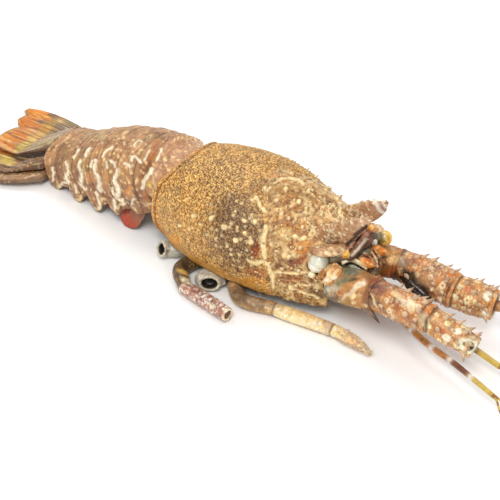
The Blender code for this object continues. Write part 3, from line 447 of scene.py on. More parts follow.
def shell_material(name, roughness, bump, fine, coat, cream, variation):
    """Make a chitin material that reads its markings from the mesh and adds fine grain."""
    material = bpy.data.materials.new(name)
    material.use_nodes = True
    tree = material.node_tree
    place = {"Vector": add_node(tree, "ShaderNodeTexCoord").outputs["Object"]}
    tint = add_node(tree, "ShaderNodeAttribute", attribute_name="tint").outputs["Color"]
    grain = add_node(tree, "ShaderNodeAttribute", attribute_name="grain").outputs["Fac"]
    cloud = add_node(tree, "ShaderNodeTexNoise", {"Scale": 260.0, "Detail": 6.0, "Roughness": 0.65},
                     place).outputs["Fac"]
    shade = add_node(tree, "ShaderNodeMapRange",
                     {"From Min": 0.3, "From Max": 0.7, "To Min": 1.0 - variation,
                      "To Max": 1.0 + variation * 0.6}, {"Value": cloud})
    shaded = add_node(tree, "ShaderNodeVectorMath", None,
                      {0: tint, "Scale": shade.outputs["Result"]}, operation="SCALE")
    dots = add_node(tree, "ShaderNodeTexVoronoi", {"Scale": fine}, place)
    ramp_node = add_node(tree, "ShaderNodeValToRGB", None, {"Fac": dots.outputs["Distance"]})
    for element, where, level in zip(ramp_node.color_ramp.elements, (0.12, 0.42), (1, 0)):
        element.position = where
        element.color = (level, level, level, 1)
    tops = ramp_node.outputs["Color"]
    weight = add_node(tree, "ShaderNodeMath", None, {0: tops, 1: grain}, operation="MULTIPLY")
    weaker = add_node(tree, "ShaderNodeMath", {1: cream}, {0: weight.outputs["Value"]},
                      operation="MULTIPLY")
    lighten = add_node(tree, "ShaderNodeMix", None, {"Factor": weaker.outputs["Value"]},
                       data_type="RGBA")
    lighten.inputs["B"].default_value = (*CREAM, 1.0)
    tree.links.new(shaded.outputs["Vector"], lighten.inputs["A"])
    gloss = add_node(tree, "ShaderNodeMapRange",
                     {"From Min": 0.32, "From Max": 0.68, "To Min": roughness[0],
                      "To Max": roughness[1]}, {"Value": cloud})
    fine_noise = add_node(tree, "ShaderNodeTexNoise", {"Scale": 1400.0, "Detail": 4.0}, place)
    total = add_node(tree, "ShaderNodeMath", {1: 0.35}, {0: fine_noise.outputs["Fac"], 2: tops},
                     operation="MULTIPLY_ADD")
    relief = add_node(tree, "ShaderNodeBump", {"Strength": bump, "Distance": 0.0004},
                      {"Height": total.outputs["Value"]})
    shader = tree.nodes["Principled BSDF"]
    for socket, source in (("Base Color", lighten.outputs["Result"]),
                           ("Roughness", gloss.outputs["Result"]),
                           ("Normal", relief.outputs["Normal"])):
        tree.links.new(source, shader.inputs[socket])
    for socket, value in (("Specular IOR Level", 0.32), ("Coat Weight", coat),
                          ("Coat Roughness", 0.25)):
        shader.inputs[socket].default_value = value
    return material


def finish_piece(name, mesh, colours, grain, material, node_names):
    """Give a mesh its attributes and material, and hang it on the body."""
    mesh.update()
    mesh.polygons.foreach_set("use_smooth", [True] * len(mesh.polygons))
    tint = mesh.color_attributes.new("tint", "FLOAT_COLOR", "POINT")
    rows = np.ones((len(mesh.vertices), 4), np.float32)
    rows[:, :3] = np.clip(colours, 0.0, 1.0)
    tint.data.foreach_set("color", rows.ravel())
    layer = mesh.attributes.new("grain", "FLOAT", "POINT")
    layer.data.foreach_set("value", np.asarray(grain, np.float32).ravel())
    mesh.materials.append(material)
    piece = bpy.data.objects.new(name, mesh)
    bpy.context.scene.collection.objects.link(piece)
    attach(piece, BODY)
    if node_names:
        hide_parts(*node_names)


class Pile:
    """Many small closed pieces gathered in one mesh."""

    def __init__(self):
        """Start with nothing in the pile."""
        self.points = []
        self.faces = []
        self.colours = []
        self.grain = []
        self.count = 0

    def add(self, points, faces, colours, grain):
        """Add one closed piece, in millimetres."""
        self.points.append(points)
        self.faces += [tuple(i + self.count for i in face) for face in faces]
        self.colours.append(np.broadcast_to(colours, points.shape))
        self.grain.append(np.broadcast_to(grain, points.shape[:1]))
        self.count += len(points)

    def add_grid(self, grid, colours, grain):
        """Add a lofted grid of rings, closed at both ends."""
        m, n = grid.shape[:2]
        points = [grid.reshape(-1, 3)]
        tints = [np.broadcast_to(colours, grid.shape).reshape(-1, 3)]
        amount = [np.broadcast_to(grain, (m, n)).reshape(-1)]
        rows = np.arange(m * n).reshape(m, n)
        a = rows[:-1]
        b = np.roll(rows, -1, axis=1)[:-1]
        c = np.roll(rows, -1, axis=1)[1:]
        d = rows[1:]
        faces = np.stack((a, b, c, d), axis=-1).reshape(-1, 4).tolist()
        for ring, order, place in ((0, -1, m * n), (m - 1, 1, m * n + 1)):
            points.append(grid[ring].mean(axis=0)[None])
            tints.append(tints[0].reshape(m, n, 3)[ring].mean(axis=0)[None])
            amount.append(np.zeros(1))
            loop = rows[ring][::order]
            faces += [(int(loop[k]), int(loop[(k + 1) % n]), place) for k in range(n)]
        flat = grid.reshape(-1, 3) - grid.mean(axis=(0, 1))
        corner = [flat[part.reshape(-1)] for part in (a, b, c, d)]
        volume = (corner[0] * np.cross(corner[1], corner[2])).sum()
        volume += (corner[0] * np.cross(corner[2], corner[3])).sum()
        if volume < 0:
            faces = [face[::-1] for face in faces]
        self.add(np.concatenate(points), faces, np.concatenate(tints), np.concatenate(amount))

    def build(self, name, material, node_names=()):
        """Make the mesh and its piece, kept inside the solids' box."""
        mesh = bpy.data.meshes.new(name)
        points = np.clip(np.concatenate(self.points) * MM, *np.array(CAD_BOX))
        mesh.from_pydata(points.tolist(), [], self.faces)
        finish_piece(name, mesh, np.concatenate(self.colours), np.concatenate(self.grain),
                     material, node_names)


def single(name, grid, colours, grain, material, nodes=()):
    """Make one piece from one grid."""
    pile = Pile()
    pile.add_grid(grid, colours, grain)
    pile.build(name, material, nodes)


def lift(grid, normals, relief):
    """Move points along their normals."""
    return grid + normals * relief[..., None]


def whole_ring(x, line):
    """Mirror a half ring of widths and heights into a whole ring at x."""
    right = np.stack((np.full(len(line), x), -line[:, 0], line[:, 1]), axis=1)
    return np.concatenate((right, right[-2:0:-1] * MIRROR))


def curve_through(path, steps):
    """Give evenly spaced points on a smooth curve through a path, and their shares."""
    path = np.array(path, float)
    along = lengths_along(path)
    slopes = np.gradient(path, along, axis=0) if len(path) > 2 else np.repeat(
        np.diff(path, axis=0) / along[-1], 2, axis=0)
    where = np.linspace(0.0, along[-1], steps)
    k = np.clip(np.searchsorted(along, where, side="right") - 1, 0, len(path) - 2)
    span = along[k + 1] - along[k]
    t = ((where - along[k]) / span)[:, None]
    span = span[:, None]
    points = ((2 * t ** 3 - 3 * t ** 2 + 1) * path[k] + (t ** 3 - 2 * t ** 2 + t) * span * slopes[k]
              + (-2 * t ** 3 + 3 * t ** 2) * path[k + 1] + (t ** 3 - t ** 2) * span * slopes[k + 1])
    return points, where / along[-1], along / along[-1], along[-1]


def mitre(before, joint, after, offset):
    """Give the plane between two limb segments, moved along its normal."""
    before, joint, after = (np.array(p, float) for p in (before, joint, after))
    normal = unit(unit(joint - before) + unit(after - joint))
    return joint + normal * offset, normal


def tube(path, sizes, steps, sides, start=None, end=None, hint=Z_AXIS):
    """Give a fine grid of limb rings, with the share along and the angle of each point."""
    centres, share, knots, length = curve_through(path, steps)
    sizes = np.array(sizes, float)
    height = soft_read(share, knots, sizes[:, 0], 0.06)
    width = soft_read(share, knots, sizes[:, 1], 0.06)
    tangents = unit(np.gradient(centres, axis=0))
    across = unit(np.cross(hint, tangents))
    up = np.cross(tangents, across)
    turn = 2.0 * math.pi * (np.arange(sides) + 0.5) / sides
    c, s = np.cos(turn), np.sin(turn)
    grid = (centres[:, None] + across[:, None] * (width / 2)[:, None, None] * c[None, :, None]
            + up[:, None] * (height / 2)[:, None, None] * s[None, :, None])
    for plane, row, order in ((start, 0, 1), (end, -1, -1)):
        if plane is None:
            continue
        point, normal = plane
        travel = ((point - grid[row]) @ normal) / (tangents[row] @ normal)
        reach = 1.2 * max(height[row], width[row]) / length
        spread = share if order > 0 else 1.0 - share
        fade = np.clip(1.0 - spread / reach, 0.0, 1.0)
        grid += fade[:, None, None] * travel[None, :, None] * tangents[:, None]
    around = np.broadcast_to(turn, grid.shape[:2])
    along = np.broadcast_to(share[:, None], grid.shape[:2])
    return grid, along, around, tangents, length


def hollow_end(grid, tangents, wall, depths):
    """Add rings that go back inside a broken end."""
    rim = grid[-1]
    centre = rim.mean(axis=0)
    reach = np.linalg.norm(rim - centre, axis=1)
    inner = centre + (rim - centre) * (1.0 - wall / reach)[:, None]
    rings = [inner]
    for k, depth in enumerate(depths):
        shrink = HOLLOW_NARROWING ** (k + 1)
        rings.append(centre + (inner - centre) * shrink - tangents[-1] * depth)
    return np.concatenate((grid, np.array(rings)))


def cone_grid(root, tip, radius, sides=8, bend=0.0):
    """Give the rings of one spine, bent a little toward its own front."""
    root, tip = np.array(root, float), np.array(tip, float)
    axis = unit(tip - root)
    helper = Y_AXIS if abs(axis[1]) < 0.8 else X_AXIS
    across = unit(np.cross(axis, helper))
    up = np.cross(axis, across)
    turn = 2.0 * math.pi * np.arange(sides) / sides
    circle = across * np.cos(turn)[:, None] + up * np.sin(turn)[:, None]
    rings = []
    for share, wide in ((0.0, 1.25), (0.18, 1.0), (0.45, 0.62), (0.75, 0.3), (0.97, 0.06)):
        centre = root + (tip - root) * share + np.array((bend * share * (1 - share), 0, 0))
        rings.append(centre + circle * radius * wide)
    return np.array(rings)


def spine_colours(base, ring, tip):
    """Give the five rings of a spine their colours."""
    rows = np.array((base, ring, ring, tip, tip))
    return rows[:, None, :]


# Carapace

def body_row(values, x):
    """Read one of the carapace's size rows at x."""
    return soft_read(x, BODY_X, values, 7.0)


def margin_x(table, angle):
    """Read where the front or rear margin lies at an angle round the body."""
    rows = np.array(table, float)
    return soft_read(np.abs(angle), rows[:, 0], rows[:, 1], 4.0)


def carapace_point(x, angle, inset):
    """Give points of the carapace at x and an angle from the top, + to the left."""
    x, angle = np.broadcast_arrays(np.asarray(x, float), np.asarray(angle, float))
    top = body_row(DORSAL_Z, x) - inset
    half = body_row(HALF_WIDTH, x) - inset
    low_half = body_row(MARGIN_HALF_WIDTH, x) - inset
    low_z = body_row(MARGIN_Z, x)
    size = np.abs(angle)
    sign = np.where(angle >= 0, 1.0, -1.0)
    t = np.radians(np.minimum(size, ARCH_END))
    power = body_row(ARCH_POWER, x)
    y = half * np.sin(t) ** power
    z = WIDEST_Z + (top - WIDEST_Z) * np.maximum(np.cos(t), 0.0) ** power
    low = np.radians((np.maximum(size, ARCH_END) - ARCH_END) / (MARGIN_ANGLE - ARCH_END) * 90.0)
    y = np.where(size > ARCH_END, half - (half - low_half) * (1.0 - np.cos(low)), y)
    z = np.where(size > ARCH_END, WIDEST_Z - (WIDEST_Z - low_z) * np.sin(low), z)
    return np.stack((x, sign * y, z), axis=-1)


def groove_x(angle):
    """Read where the neck groove lies at an angle round the body."""
    rows = np.array(GROOVE_LINE, float)
    return soft_read(np.abs(angle), rows[:, 1], rows[:, 0], 5.0)


def groove_share(x, angle):
    """Give how near a point is to the neck groove, 1 at its bottom."""
    return hill(x, groove_x(angle), GROOVE_WIDTH)


def carapace_surface(x, angle):
    """Give the outer surface, with groove and rear rim."""
    rear = margin_x(REAR_MARGIN, angle)
    rim = 0.9 * hill(x - rear, 2.0, 2.6)
    return carapace_point(x, angle, GROOVE_DEPTH * groove_share(x, angle) - rim)


def station_x(share, angle):
    """Give x along the carapace from the rear margin (0) to the front margin (1)."""
    front = margin_x(FRONT_MARGIN, angle)
    rear = margin_x(REAR_MARGIN, angle)
    plain = -60.0 + 130.0 * share
    to_front = smoothstep((plain - 30.0) / 40.0)
    to_rear = smoothstep((-32.0 - plain) / 28.0)
    return plain + to_front * (front - 70.0) + to_rear * (rear + 60.0)


def carapace_normal(x, angle):
    """Give outward normals."""
    along = carapace_surface(x + 0.5, angle) - carapace_surface(x - 0.5, angle)
    around = carapace_surface(x, angle + 1.0) - carapace_surface(x, angle - 1.0)
    return unit(np.cross(along, around))


# Marks stand in the photo's frame, in its pixels. A line has a route and a width, a spot a
# centre and a radius, a patch a centre, two radii, a shade, a strength and a turn in degrees.
CREAM_LINES = (
    (((256, 197), (259, 203), (262, 209)), 2.2),
    (((265, 227), (264, 236), (263.4, 246), (265, 257)), 3.6),
    (((249, 261), (256, 264), (264, 262), (270, 268), (272.5, 276), (273, 287)), 3.0),
    (((273, 272.5), (280, 271.6), (290, 273), (302, 272.4), (313, 273), (316, 280)), 1.9),
    (((274, 183), (281, 179.6), (292, 178.8), (305, 184)), 1.1),
    (((311, 232.4), (319, 230), (327, 231), (334, 229.4), (344, 233)), 2.2),
    (((338.6, 204), (340, 212), (341.4, 218), (344.6, 224)), 2.2),
    (((318, 246.6), (326, 248.6), (334, 249.6), (342, 251)), 1.8),
    (((252, 201), (256, 198.6), (259, 201)), 1.4), (((282, 179), (290, 178), (300, 181)), 1.4),
    (((263, 188), (267, 191), (271, 188)), 1.6), (((294, 236), (300, 240), (306, 239)), 2.4),
    (((291, 287), (300, 291), (309, 294), (318, 297)), 1.3),
    (((298, 283.5), (306, 285), (313, 284)), 1.2), (((328, 212), (333, 219), (338, 221)), 1.2),
    (((308, 222), (313, 227), (322, 228)), 1.2), (((262, 208), (266, 212)), 1.6))
CREAM_SPOTS = (
    ((211, 218.4), 2.7), ((224.6, 227), 3.1), ((236.4, 240), 2.6), ((245, 220.8), 2.0),
    ((255, 221.4), 3.2), ((250.7, 242.4), 2.6), ((194, 216), 2.4), ((235.8, 211), 1.5),
    ((238, 227.4), 1.5), ((228, 246.5), 1.4), ((244.6, 233), 1.6), ((232, 254), 1.5),
    ((285, 254.6), 2.8), ((304, 238.4), 2.6), ((310.4, 234.6), 2.2), ((291.8, 287.6), 3.0),
    ((316.6, 286.6), 3.4), ((285.6, 190), 2.4), ((298.4, 202), 2.2), ((308, 191.4), 2.0),
    ((264.6, 188.6), 2.2), ((276, 200), 1.6), ((281, 214), 1.8), ((272, 244), 1.7), ((288, 238), 2.0),
    ((296, 219), 1.5), ((276, 226), 1.4), ((316, 207), 1.7), ((324, 199), 1.5), ((330, 207), 1.6),
    ((180, 226), 1.5), ((189, 229), 1.3), ((200, 224), 1.3), ((207, 234), 1.3), ((216, 238), 1.2))
SIDE_PATCHES = (
    ((255.6, 250.5), (4.4, 8.0), RUST, 0.95, 0), ((303, 249), (9.0, 8.0), ORANGE_GOLD, 0.6, 30),
    ((305, 260), (8.4, 5.0), srgb(176, 92, 32), 0.95, 15), ((263, 239), (3.6, 7.5), CREAM, 0.95, 0),
    ((291, 262), (10.0, 3.4), ANTENNA_MAUVE, 0.85, 12), ((257, 272.6), (10.5, 4.6), RUST, 0.8, 12),
    ((253, 281), (11, 3.6), GOLD, 0.7, 16), ((291, 279), (14.0, 4.2), RUST, 0.8, 7),
    ((316.5, 292.5), (10.0, 4.0), DARK_BROWN, 0.75, 20), ((304.5, 247.5), (8.0, 6.0), GOLD, 0.8, 0),
    ((320.4, 222), (12.0, 5.6), RUST, 0.45, 8), ((325, 238.5), (12.0, 4.8), ANTENNA_MAUVE, 0.55, 10),
    ((262, 226.6), (2.6, 2.0), DARK_BROWN, 0.8, 0), ((267.4, 279), (2.6, 2.6), BLACK_BROWN, 0.6, 0),
    ((173.6, 238.6), (8.0, 4.6), srgb(232, 172, 62), 0.7, 30),
    ((276, 190), (12.0, 6.0), OLIVE, 0.35, 20), ((300, 193), (14.0, 6.0), OLIVE, 0.3, 24),
    ((258, 186), (9.0, 7.0), MAUVE_BROWN, 0.5, 0))


def paint_carapace(points, normals, x, angle):
    """Give the colours, relief and grain of the carapace."""
    place, seen = mark_frame(points, normals, 1.3)
    size = np.abs(angle)
    front = ramp(x - groove_x(angle), -6.0, 3.0)
    rear = margin_x(REAR_MARGIN, angle)
    broad = layered(points, 16.0, 3)
    fine = layered(points, 5.0, 8)
    _, around = ring_lengths(points)
    along = x + 0.5 * fine
    near, mark = flat_cells(along, around, 1.5, 21)
    near = near / (0.72 + 0.55 * mark)
    bump = 1.0 - ramp(near, 0.24, 0.54)
    knob = dotted(along, around, 4.6, 33, 0.2, 0.6)

    mid = spot_mark(place, (236, 233), (27, 40), 0.45, -8) * seen
    top_brown = spot_mark(place, (224, 178), (24, 22), 0.7) * seen
    band = ramp(size, 112.0, 124.0) * (1.0 - ramp(x, 16.0, 42.0))
    edge_band = hill(x, rear, 6.0)
    tan = blend(FRONT_TAN, (MAUVE_BROWN, 0.65 * ramp(layered(points, 9.0, 14), -0.05, 0.5)),
                (RUST, 0.4 * ramp(layered(points, 12.0, 55), 0.1, 0.6)),
                (GOLD, 0.35 * ramp(layered(points, 14.0, 57), 0.1, 0.6)))
    quiet = np.clip(0.75 * band + 0.3 * ramp(size, 128.0, 145.0), 0.0, 1.0)
    speck = bump * (0.55 + 0.45 * mark) * (1.0 - quiet)
    pit = ramp(near, 0.6, 0.98) * (1.0 - 0.5 * quiet) * (1.0 - 0.6 * front)
    web = np.maximum(hill(layered(points, 6.4, 71), 0.0, 0.12),
                     0.6 * hill(layered(points, 3.4, 73, 2), 0.05, 0.12))
    web = web * front * ramp(layered(points, 13.0, 75), -0.45, 0.15)
    patchy = ramp(layered(points, 5.6, 79), 0.12, 0.42) * front
    dull = ramp(layered(points, 4.4, 83), 0.1, 0.4) * front
    dot = dotted(along, around, 5.2, 61, 0.22, 0.5) * front
    hole = dotted(along, around, 3.4, 67, 0.17, 0.4, 0.1) * front
    colour = blend(
        OCHRE, (GOLD, 0.4 * ramp(broad, -0.1, 0.8)),
        (MAUVE_BROWN, 0.5 * ramp(-broad, 0.05, 0.6) * (size < 60)), (srgb(118, 84, 66), 0.95 * mid),
        (MAUVE_BROWN, 0.6 * top_brown), (srgb(196, 152, 82), 0.8 * band),
        (ORANGE_GOLD, 0.6 * edge_band * ramp(broad, -0.6, 0.5)), (tan, front),
        (GRANULE, speck * (0.95 - 0.6 * front - 0.5 * mid)), (OCHRE_DARK, pit * (0.8 - 0.4 * mid)),
        (CREAM, knob * mid * 0.8), (SPOT, 0.55 * patchy),
        (srgb(132, 84, 52), 0.6 * dull * (1.0 - patchy)), (CREAM, 0.72 * web), (CREAM, 0.6 * dot),
        (DARK_BROWN, 0.5 * hole))
    colour = add_marks(colour, SIDE_PATCHES, place, seen, 0.45,
                       (0.85 + 0.35 * fine) * (1.0 - 0.5 * web))
    raised = np.zeros(points.shape[:-1])
    for route, width in CREAM_LINES:
        streak = line_mark(place + 0.8 * fine[..., None], route, width, 1.3) * seen
        streak = streak * ramp(layered(points, 2.6, 77), -0.9, -0.4)
        colour = mix(colour, CREAM, 0.95 * streak)
        raised = np.maximum(raised, streak)
    big = np.zeros(points.shape[:-1])
    for centre, radius in CREAM_SPOTS:
        blot = spot_mark(place, centre, (radius, radius), 0.35) * seen
        colour = mix(colour, CREAM, 0.9 * blot)
        big = np.maximum(big, blot)
    lip = hill(x - rear, 0.4, 0.8)
    line = hill(x - rear, 3.6, 0.9)
    front_lip = hill(margin_x(FRONT_MARGIN, angle) - x, 0.6, 1.1)
    colour = blend(
        colour, (srgb(222, 182, 108), 0.8 * lip), (DARK_BROWN, 0.6 * line),
        (SPOT, 0.55 * front_lip * ramp(fine, -0.5, 0.2)))
    colour = colour * (1.0 + 0.16 * noise(points, 1.1, 5) + 0.10 * fine)[..., None]
    low_front = front * ramp(size, 40.0, 70.0) * (1.0 - raised)
    colour = colour * (1.0 - 0.16 * mid * (1.0 - big) - 0.14 * low_front)[..., None]
    colour = deepen(colour * np.array(SHELL_TONE), 1.2)

    relief = 0.30 * bump * (1.0 - 0.7 * quiet) * (1.0 - 0.4 * front) + 0.5 * knob * mid
    relief = relief + 0.75 * big + 0.5 * raised + 0.34 * web + 0.4 * dot - 0.35 * hole
    relief = relief + 0.35 * patchy - 0.3 * dull
    relief = relief + 0.35 * layered(points, 9.0, 44) - 0.5 * line + 0.25 * lip
    return colour, relief, (1.0 - quiet) * (1.0 - 0.4 * front)


def carapace_skin(material):
    """Make the finely grained shell with its recesses closed as in the solids."""
    stations, arc = CARAPACE_GRID
    share = np.linspace(0.0, 1.0, stations)[:, None]
    angle = np.linspace(-MARGIN_ANGLE, MARGIN_ANGLE, arc)[None, :]
    x = station_x(share, angle)
    angle = np.broadcast_to(angle, x.shape)
    outer = carapace_surface(x, angle)
    normals = carapace_normal(x, angle)
    colour, relief, grain = paint_carapace(outer, normals, x, angle)
    fade = ramp(MARGIN_ANGLE - np.abs(angle), 0.0, 4.0) * ramp(share, 0.0, 0.008)
    fade = fade * ramp(1.0 - share, 0.0, 0.008)
    outer = lift(outer, normals, relief * fade)
    left, right = outer[:, -1], outer[:, 0]
    rims = []
    for edge, sign in ((left, 1.0), (right, -1.0)):
        inner = edge - np.array((0.0, sign * SHELL_THICK, 0.0))
        floor_y = inner - np.array((0.0, sign * 0.8, 0.0))
        floor_y[:, 2] = UNDERSIDE_Z
        middle = floor_y * np.array((1.0, 1.0 / 3.0, 1.0))
        rims.append((inner, floor_y, middle))
    under = [rims[0][0], rims[0][1], rims[0][2], rims[1][2], rims[1][1], rims[1][0]]
    ring = np.concatenate((outer, np.stack(under, axis=1)), axis=1)
    # The underside strip takes the membrane colour darkened to 0.6: painted shade under the shell.
    tints = np.concatenate((colour, np.broadcast_to(MEMBRANE * 0.6, (stations, 6, 3))), axis=1)
    amount = np.concatenate((grain, np.zeros((stations, 6))), axis=1)
    ends = []
    for row, depth in ((0, RECESS_X[0]), (-1, RECESS_X[1])):
        edge_x, edge_angle = x[row], angle[row]
        rim = carapace_point(edge_x, edge_angle, SHELL_THICK)
        low = UNDERSIDE_Z + 2.4
        rim[:, 2] = np.where(rim[:, 2] > low, rim[:, 2],
                             low + 0.005 * (MARGIN_ANGLE - np.abs(edge_angle)))
        inner_y = np.abs(rim[-1, 1])
        rows = (inner_y - 0.4, inner_y - 1.2, inner_y / 3)
        under_x = edge_x[-1]
        tail = [(under_x, y, low - 0.1) for y in rows]
        tail += [(under_x, -y, low - 0.1) for y in rows[::-1]]
        rim = np.concatenate((rim, np.array(tail)))
        deep = rim * np.array((0.0, 0.97, 1.0)) + np.array((depth, 0.0, 0.0))
        ends.append((rim, deep))
    # The recess walls darken inward, more at the front: painted shade in the recesses.
    inside = np.broadcast_to(srgb(70, 44, 30), (1, arc + 6, 3))
    pale = np.broadcast_to(srgb(150, 110, 74), (1, arc + 6, 3))
    grid = np.concatenate((ends[0][1][None], ends[0][0][None], ring, ends[1][0][None],
                           ends[1][1][None]))
    tints = np.concatenate((inside, pale, tints, pale * 0.6, inside * 0.35))
    amount = np.concatenate((np.zeros((2, arc + 6)), amount, np.zeros((2, arc + 6))))
    single("carapace_skin", grid, tints, amount, material, ("carapace",))


def surface_spine(pile, x, angle, length, lean, radius, shades, sink=1.2):
    """Add one spine to a pile, leaning forward on the carapace."""
    point = carapace_surface(np.array(x), np.array(angle))
    normal = carapace_normal(np.array(x), np.array(angle))
    heading = unit(normal + np.array((lean, 0.0, 0.0)))
    grid = cone_grid(point - normal * sink, point + heading * length, radius, bend=-0.8)
    pile.add_grid(grid, spine_colours(*shades), 0.0)


def carapace_spines(material):
    """Make the rows of spines, the small spinules between them and the corner spines."""
    rng = random.Random(SEED)
    shades = (FRONT_TAN, SPOT, srgb(172, 128, 84))
    dull = (FRONT_TAN, SPOT, srgb(158, 118, 82))
    pile = Pile()
    for angle, first, last, step, long_tip, short_tip in SPINE_ROWS:
        count = int((first - last) / step) + 1
        for side in (-1, 1):
            for k in range(count):
                share = k / max(count - 1, 1)
                x = first - step * k + rng.uniform(-1.6, 1.6)
                turn = side * (angle + rng.uniform(-4.0, 4.0))
                length = long_tip + (short_tip - long_tip) * share
                length *= rng.uniform(0.85, 1.15)
                surface_spine(pile, x, turn, length, 0.85, 0.55 + 0.22 * length, shades)
    for side in (-1, 1):
        surface_spine(pile, 56.5, side * 85.0, 7.5, 1.6, 2.4, (FRONT_TAN, CREAM, RUST))
        for k in range(SPINULES):
            x = rng.uniform(-12.0, 64.0)
            turn = side * rng.uniform(3.0, 122.0)
            length = rng.uniform(0.9, 2.1) * (0.75 + 0.5 * max(x, 0.0) / 60.0)
            clear = x < float(margin_x(FRONT_MARGIN, np.array(turn))) - 4.0
            if clear and x > 4.0 * math.sin(k) - 4.0:
                surface_spine(pile, x, turn, length, 0.9, 0.42 + 0.2 * length, dull, 0.6)
    pile.build("carapace_spines", material)


def horns(material):
    """Make the two flattened horns with their notched upper edge and pale bands."""
    for side, tag in SIDES:
        path = [(x, side * y, z) for x, y, z in HORN_PATH]
        path.append(HORN_TIP[side])
        grid, share, turn = tube(path, HORN_SIZES, 110, 64)[:3]
        normals = grid_normals(grid)
        soft = layered(grid, 5.0, 12)
        along, around = ring_lengths(grid)
        web = np.maximum(hill(layered(grid, 5.4, 71), 0.0, 0.09),
                         0.75 * hill(layered(grid, 3.2, 73, 2), 0.05, 0.09))
        web = web * (1.0 - 0.75 * ramp(share, 0.35, 0.6))
        dots = dotted(along, around, 3.6, 19, 0.17, 0.5)
        holes = dotted(along, around, 2.9, 27, 0.15, 0.4, 0.1) * (1.0 - ramp(share, 0.4, 0.7))
        band = hill(share + 0.03 * soft, 0.84, 0.035) + hill(share + 0.02 * soft, 0.94, 0.02)
        banded = 0.85 if side > 0 else 0.12
        edge = hill(np.sin(turn), 1.0, 0.3)
        teeth = np.maximum(0.0, np.sin(share * 40.0 + side)) ** 3
        colour = blend(
            FRONT_TAN, (HORN_SKIN, ramp(share, 0.3, 0.6)),
            (ANTENNA_MAUVE, 0.45 * ramp(layered(grid, 7.0, 15), 0.0, 0.5)), (CREAM, 0.65 * web),
            (CREAM, 0.75 * dots), (DARK_BROWN, 0.65 * holes),
            (WHITE, banded * band * ramp(layered(grid, 2.4, 18), -0.6, 0.0)),
            (SPOT, 0.5 * edge * teeth * ramp(share, 0.3, 0.6)))
        colour = colour * (1.0 + 0.15 * noise(grid, 1.1, 5) + 0.08 * soft)[..., None]
        # The near horn takes the face's painted slot shade along its lower edge.
        if side < 0:
            colour = face_lines(colour, grid, 0.5 * soft)
        relief = 0.3 * soft + 0.4 * dots - 0.3 * holes + 0.2 * web
        relief = relief + 1.2 * edge * teeth * ramp(share, 0.3, 0.5)
        relief = relief * (1.0 - ramp(share, 0.9, 1.0))
        single(f"horn_{tag}", lift(grid, normals, relief), colour, 0.25, material)


# Abdomen

def abdomen_line(joint, share, index, inset):
    """Give one half of a ring of an abdomen segment as width and depth."""
    half = joint[3] - inset
    depth = joint[4]
    widest = depth * WIDEST_DEPTH
    ends = (0.0, 0.35, 0.5, 0.55, 0.6, 0.6)[index]
    reach = float(soft_read(np.array(share), (0.0, 0.3, 0.68, 1.0), (ends, 0.6, 1.0, ends + 0.15),
                            0.1)) if index else 0.0
    tip = depth + (PLEURON_DEPTH[index] - depth) * reach
    t = np.radians(np.linspace(0.0, 90.0, 40))
    arc = np.stack((half * np.sin(t) ** 0.95, inset + (widest - inset) * (1.0 - np.cos(t) ** 0.95)),
                   axis=1)
    tuck = 8.0 * (1.0 - reach) ** 2
    low = np.array(((half - 0.4 - tuck * 0.5, widest + (tip - widest) * 0.5),
                    (half - 1.6 - tuck, tip - 0.6),
                    (half - 1.6 - tuck - PLEURON_THICK * 0.6, tip),
                    (half - 2.6 - tuck - PLEURON_THICK * 0.6, depth + (tip - depth) * 0.5),
                    (half - 3.4 - tuck - PLEURON_THICK, depth - 1.0),
                    (half * 0.35, depth - 0.4), (0.0, depth - 0.4)))
    return np.concatenate((arc, low))


def resample(line, count):
    """Spread points evenly along a line."""
    along = lengths_along(line)
    where = np.linspace(0.0, along[-1], count)
    return np.stack([np.interp(where, along, line[:, k]) for k in range(line.shape[1])], axis=1)


# Profile along a ring, as shares and insets: rings 2 to 6, then ring 1
SEGMENT_INSETS = (((0.0, 0.1, 0.28, 0.42, 0.56, 0.8, 0.94, 1.0),
                   (1.5, 0.7, 0.1, 0.5, 0.0, -0.2, -0.5, 0.1)),
                  ((0.0, 0.3, 0.6, 0.76, 0.84, 0.94, 1.0), (0.4, 1.0, 2.3, 2.0, 0.5, -0.2, 0.4)))


ABDOMEN_LINES = (
    (((118, 170), (116.5, 175), (115, 180), (117, 185), (119, 190), (118.6, 195)), 3.6),
    (((113, 188), (113.6, 193), (116.4, 197.6), (121, 200)), 1.8),
    (((113.6, 200), (115, 205), (115.4, 210)), 2.2),
    (((96.6, 161), (95, 167), (95.4, 173), (98.4, 178), (100, 183), (98.6, 187), (101.6, 191)), 2.8),
    (((96, 192), (98.4, 196), (99, 202), (99.6, 208)), 1.9),
    (((103.4, 156.4), (105, 153), (107.6, 150), (110.4, 149.6), (112.6, 147)), 1.6),
    (((81, 161), (79.6, 167), (81.6, 173), (82, 179), (80.8, 183), (83, 187), (86, 188.6)), 2.4),
    (((90.6, 148.6), (88, 152), (85.6, 155.4)), 1.7), (((93, 161), (91, 167)), 1.5),
    (((76, 186), (76.6, 192)), 1.6),
    (((66, 162), (68, 168), (67.4, 174), (66.4, 178), (69, 182.6)), 2.3),
    (((79, 150), (76, 154), (74, 158)), 1.5), (((60, 184), (64, 182), (67, 183)), 1.5),
    (((41, 174), (41.6, 182)), 1.6), (((53, 168), (53.6, 174), (53, 180)), 1.8),
    (((125, 163.6), (129, 164.6), (130, 167)), 1.4),
    (((130.6, 161), (132, 157.4), (135.4, 156.4), (138, 160), (140.4, 162)), 1.7),
    (((134, 146), (136, 142.6), (138.6, 140), (142, 142)), 1.2),
    (((150, 151), (147, 156), (144.6, 161)), 1.4), (((161, 150), (158.4, 156), (157, 161)), 1.6),
    (((111, 161), (114, 163), (114.8, 167)), 1.5), (((106, 162), (107.4, 167)), 1.4),
    (((123, 199), (123.6, 204)), 1.8), (((134.6, 199), (132, 204)), 1.8),
    (((152.4, 170), (148, 176.6), (144, 182), (143.4, 188)), 3.0))
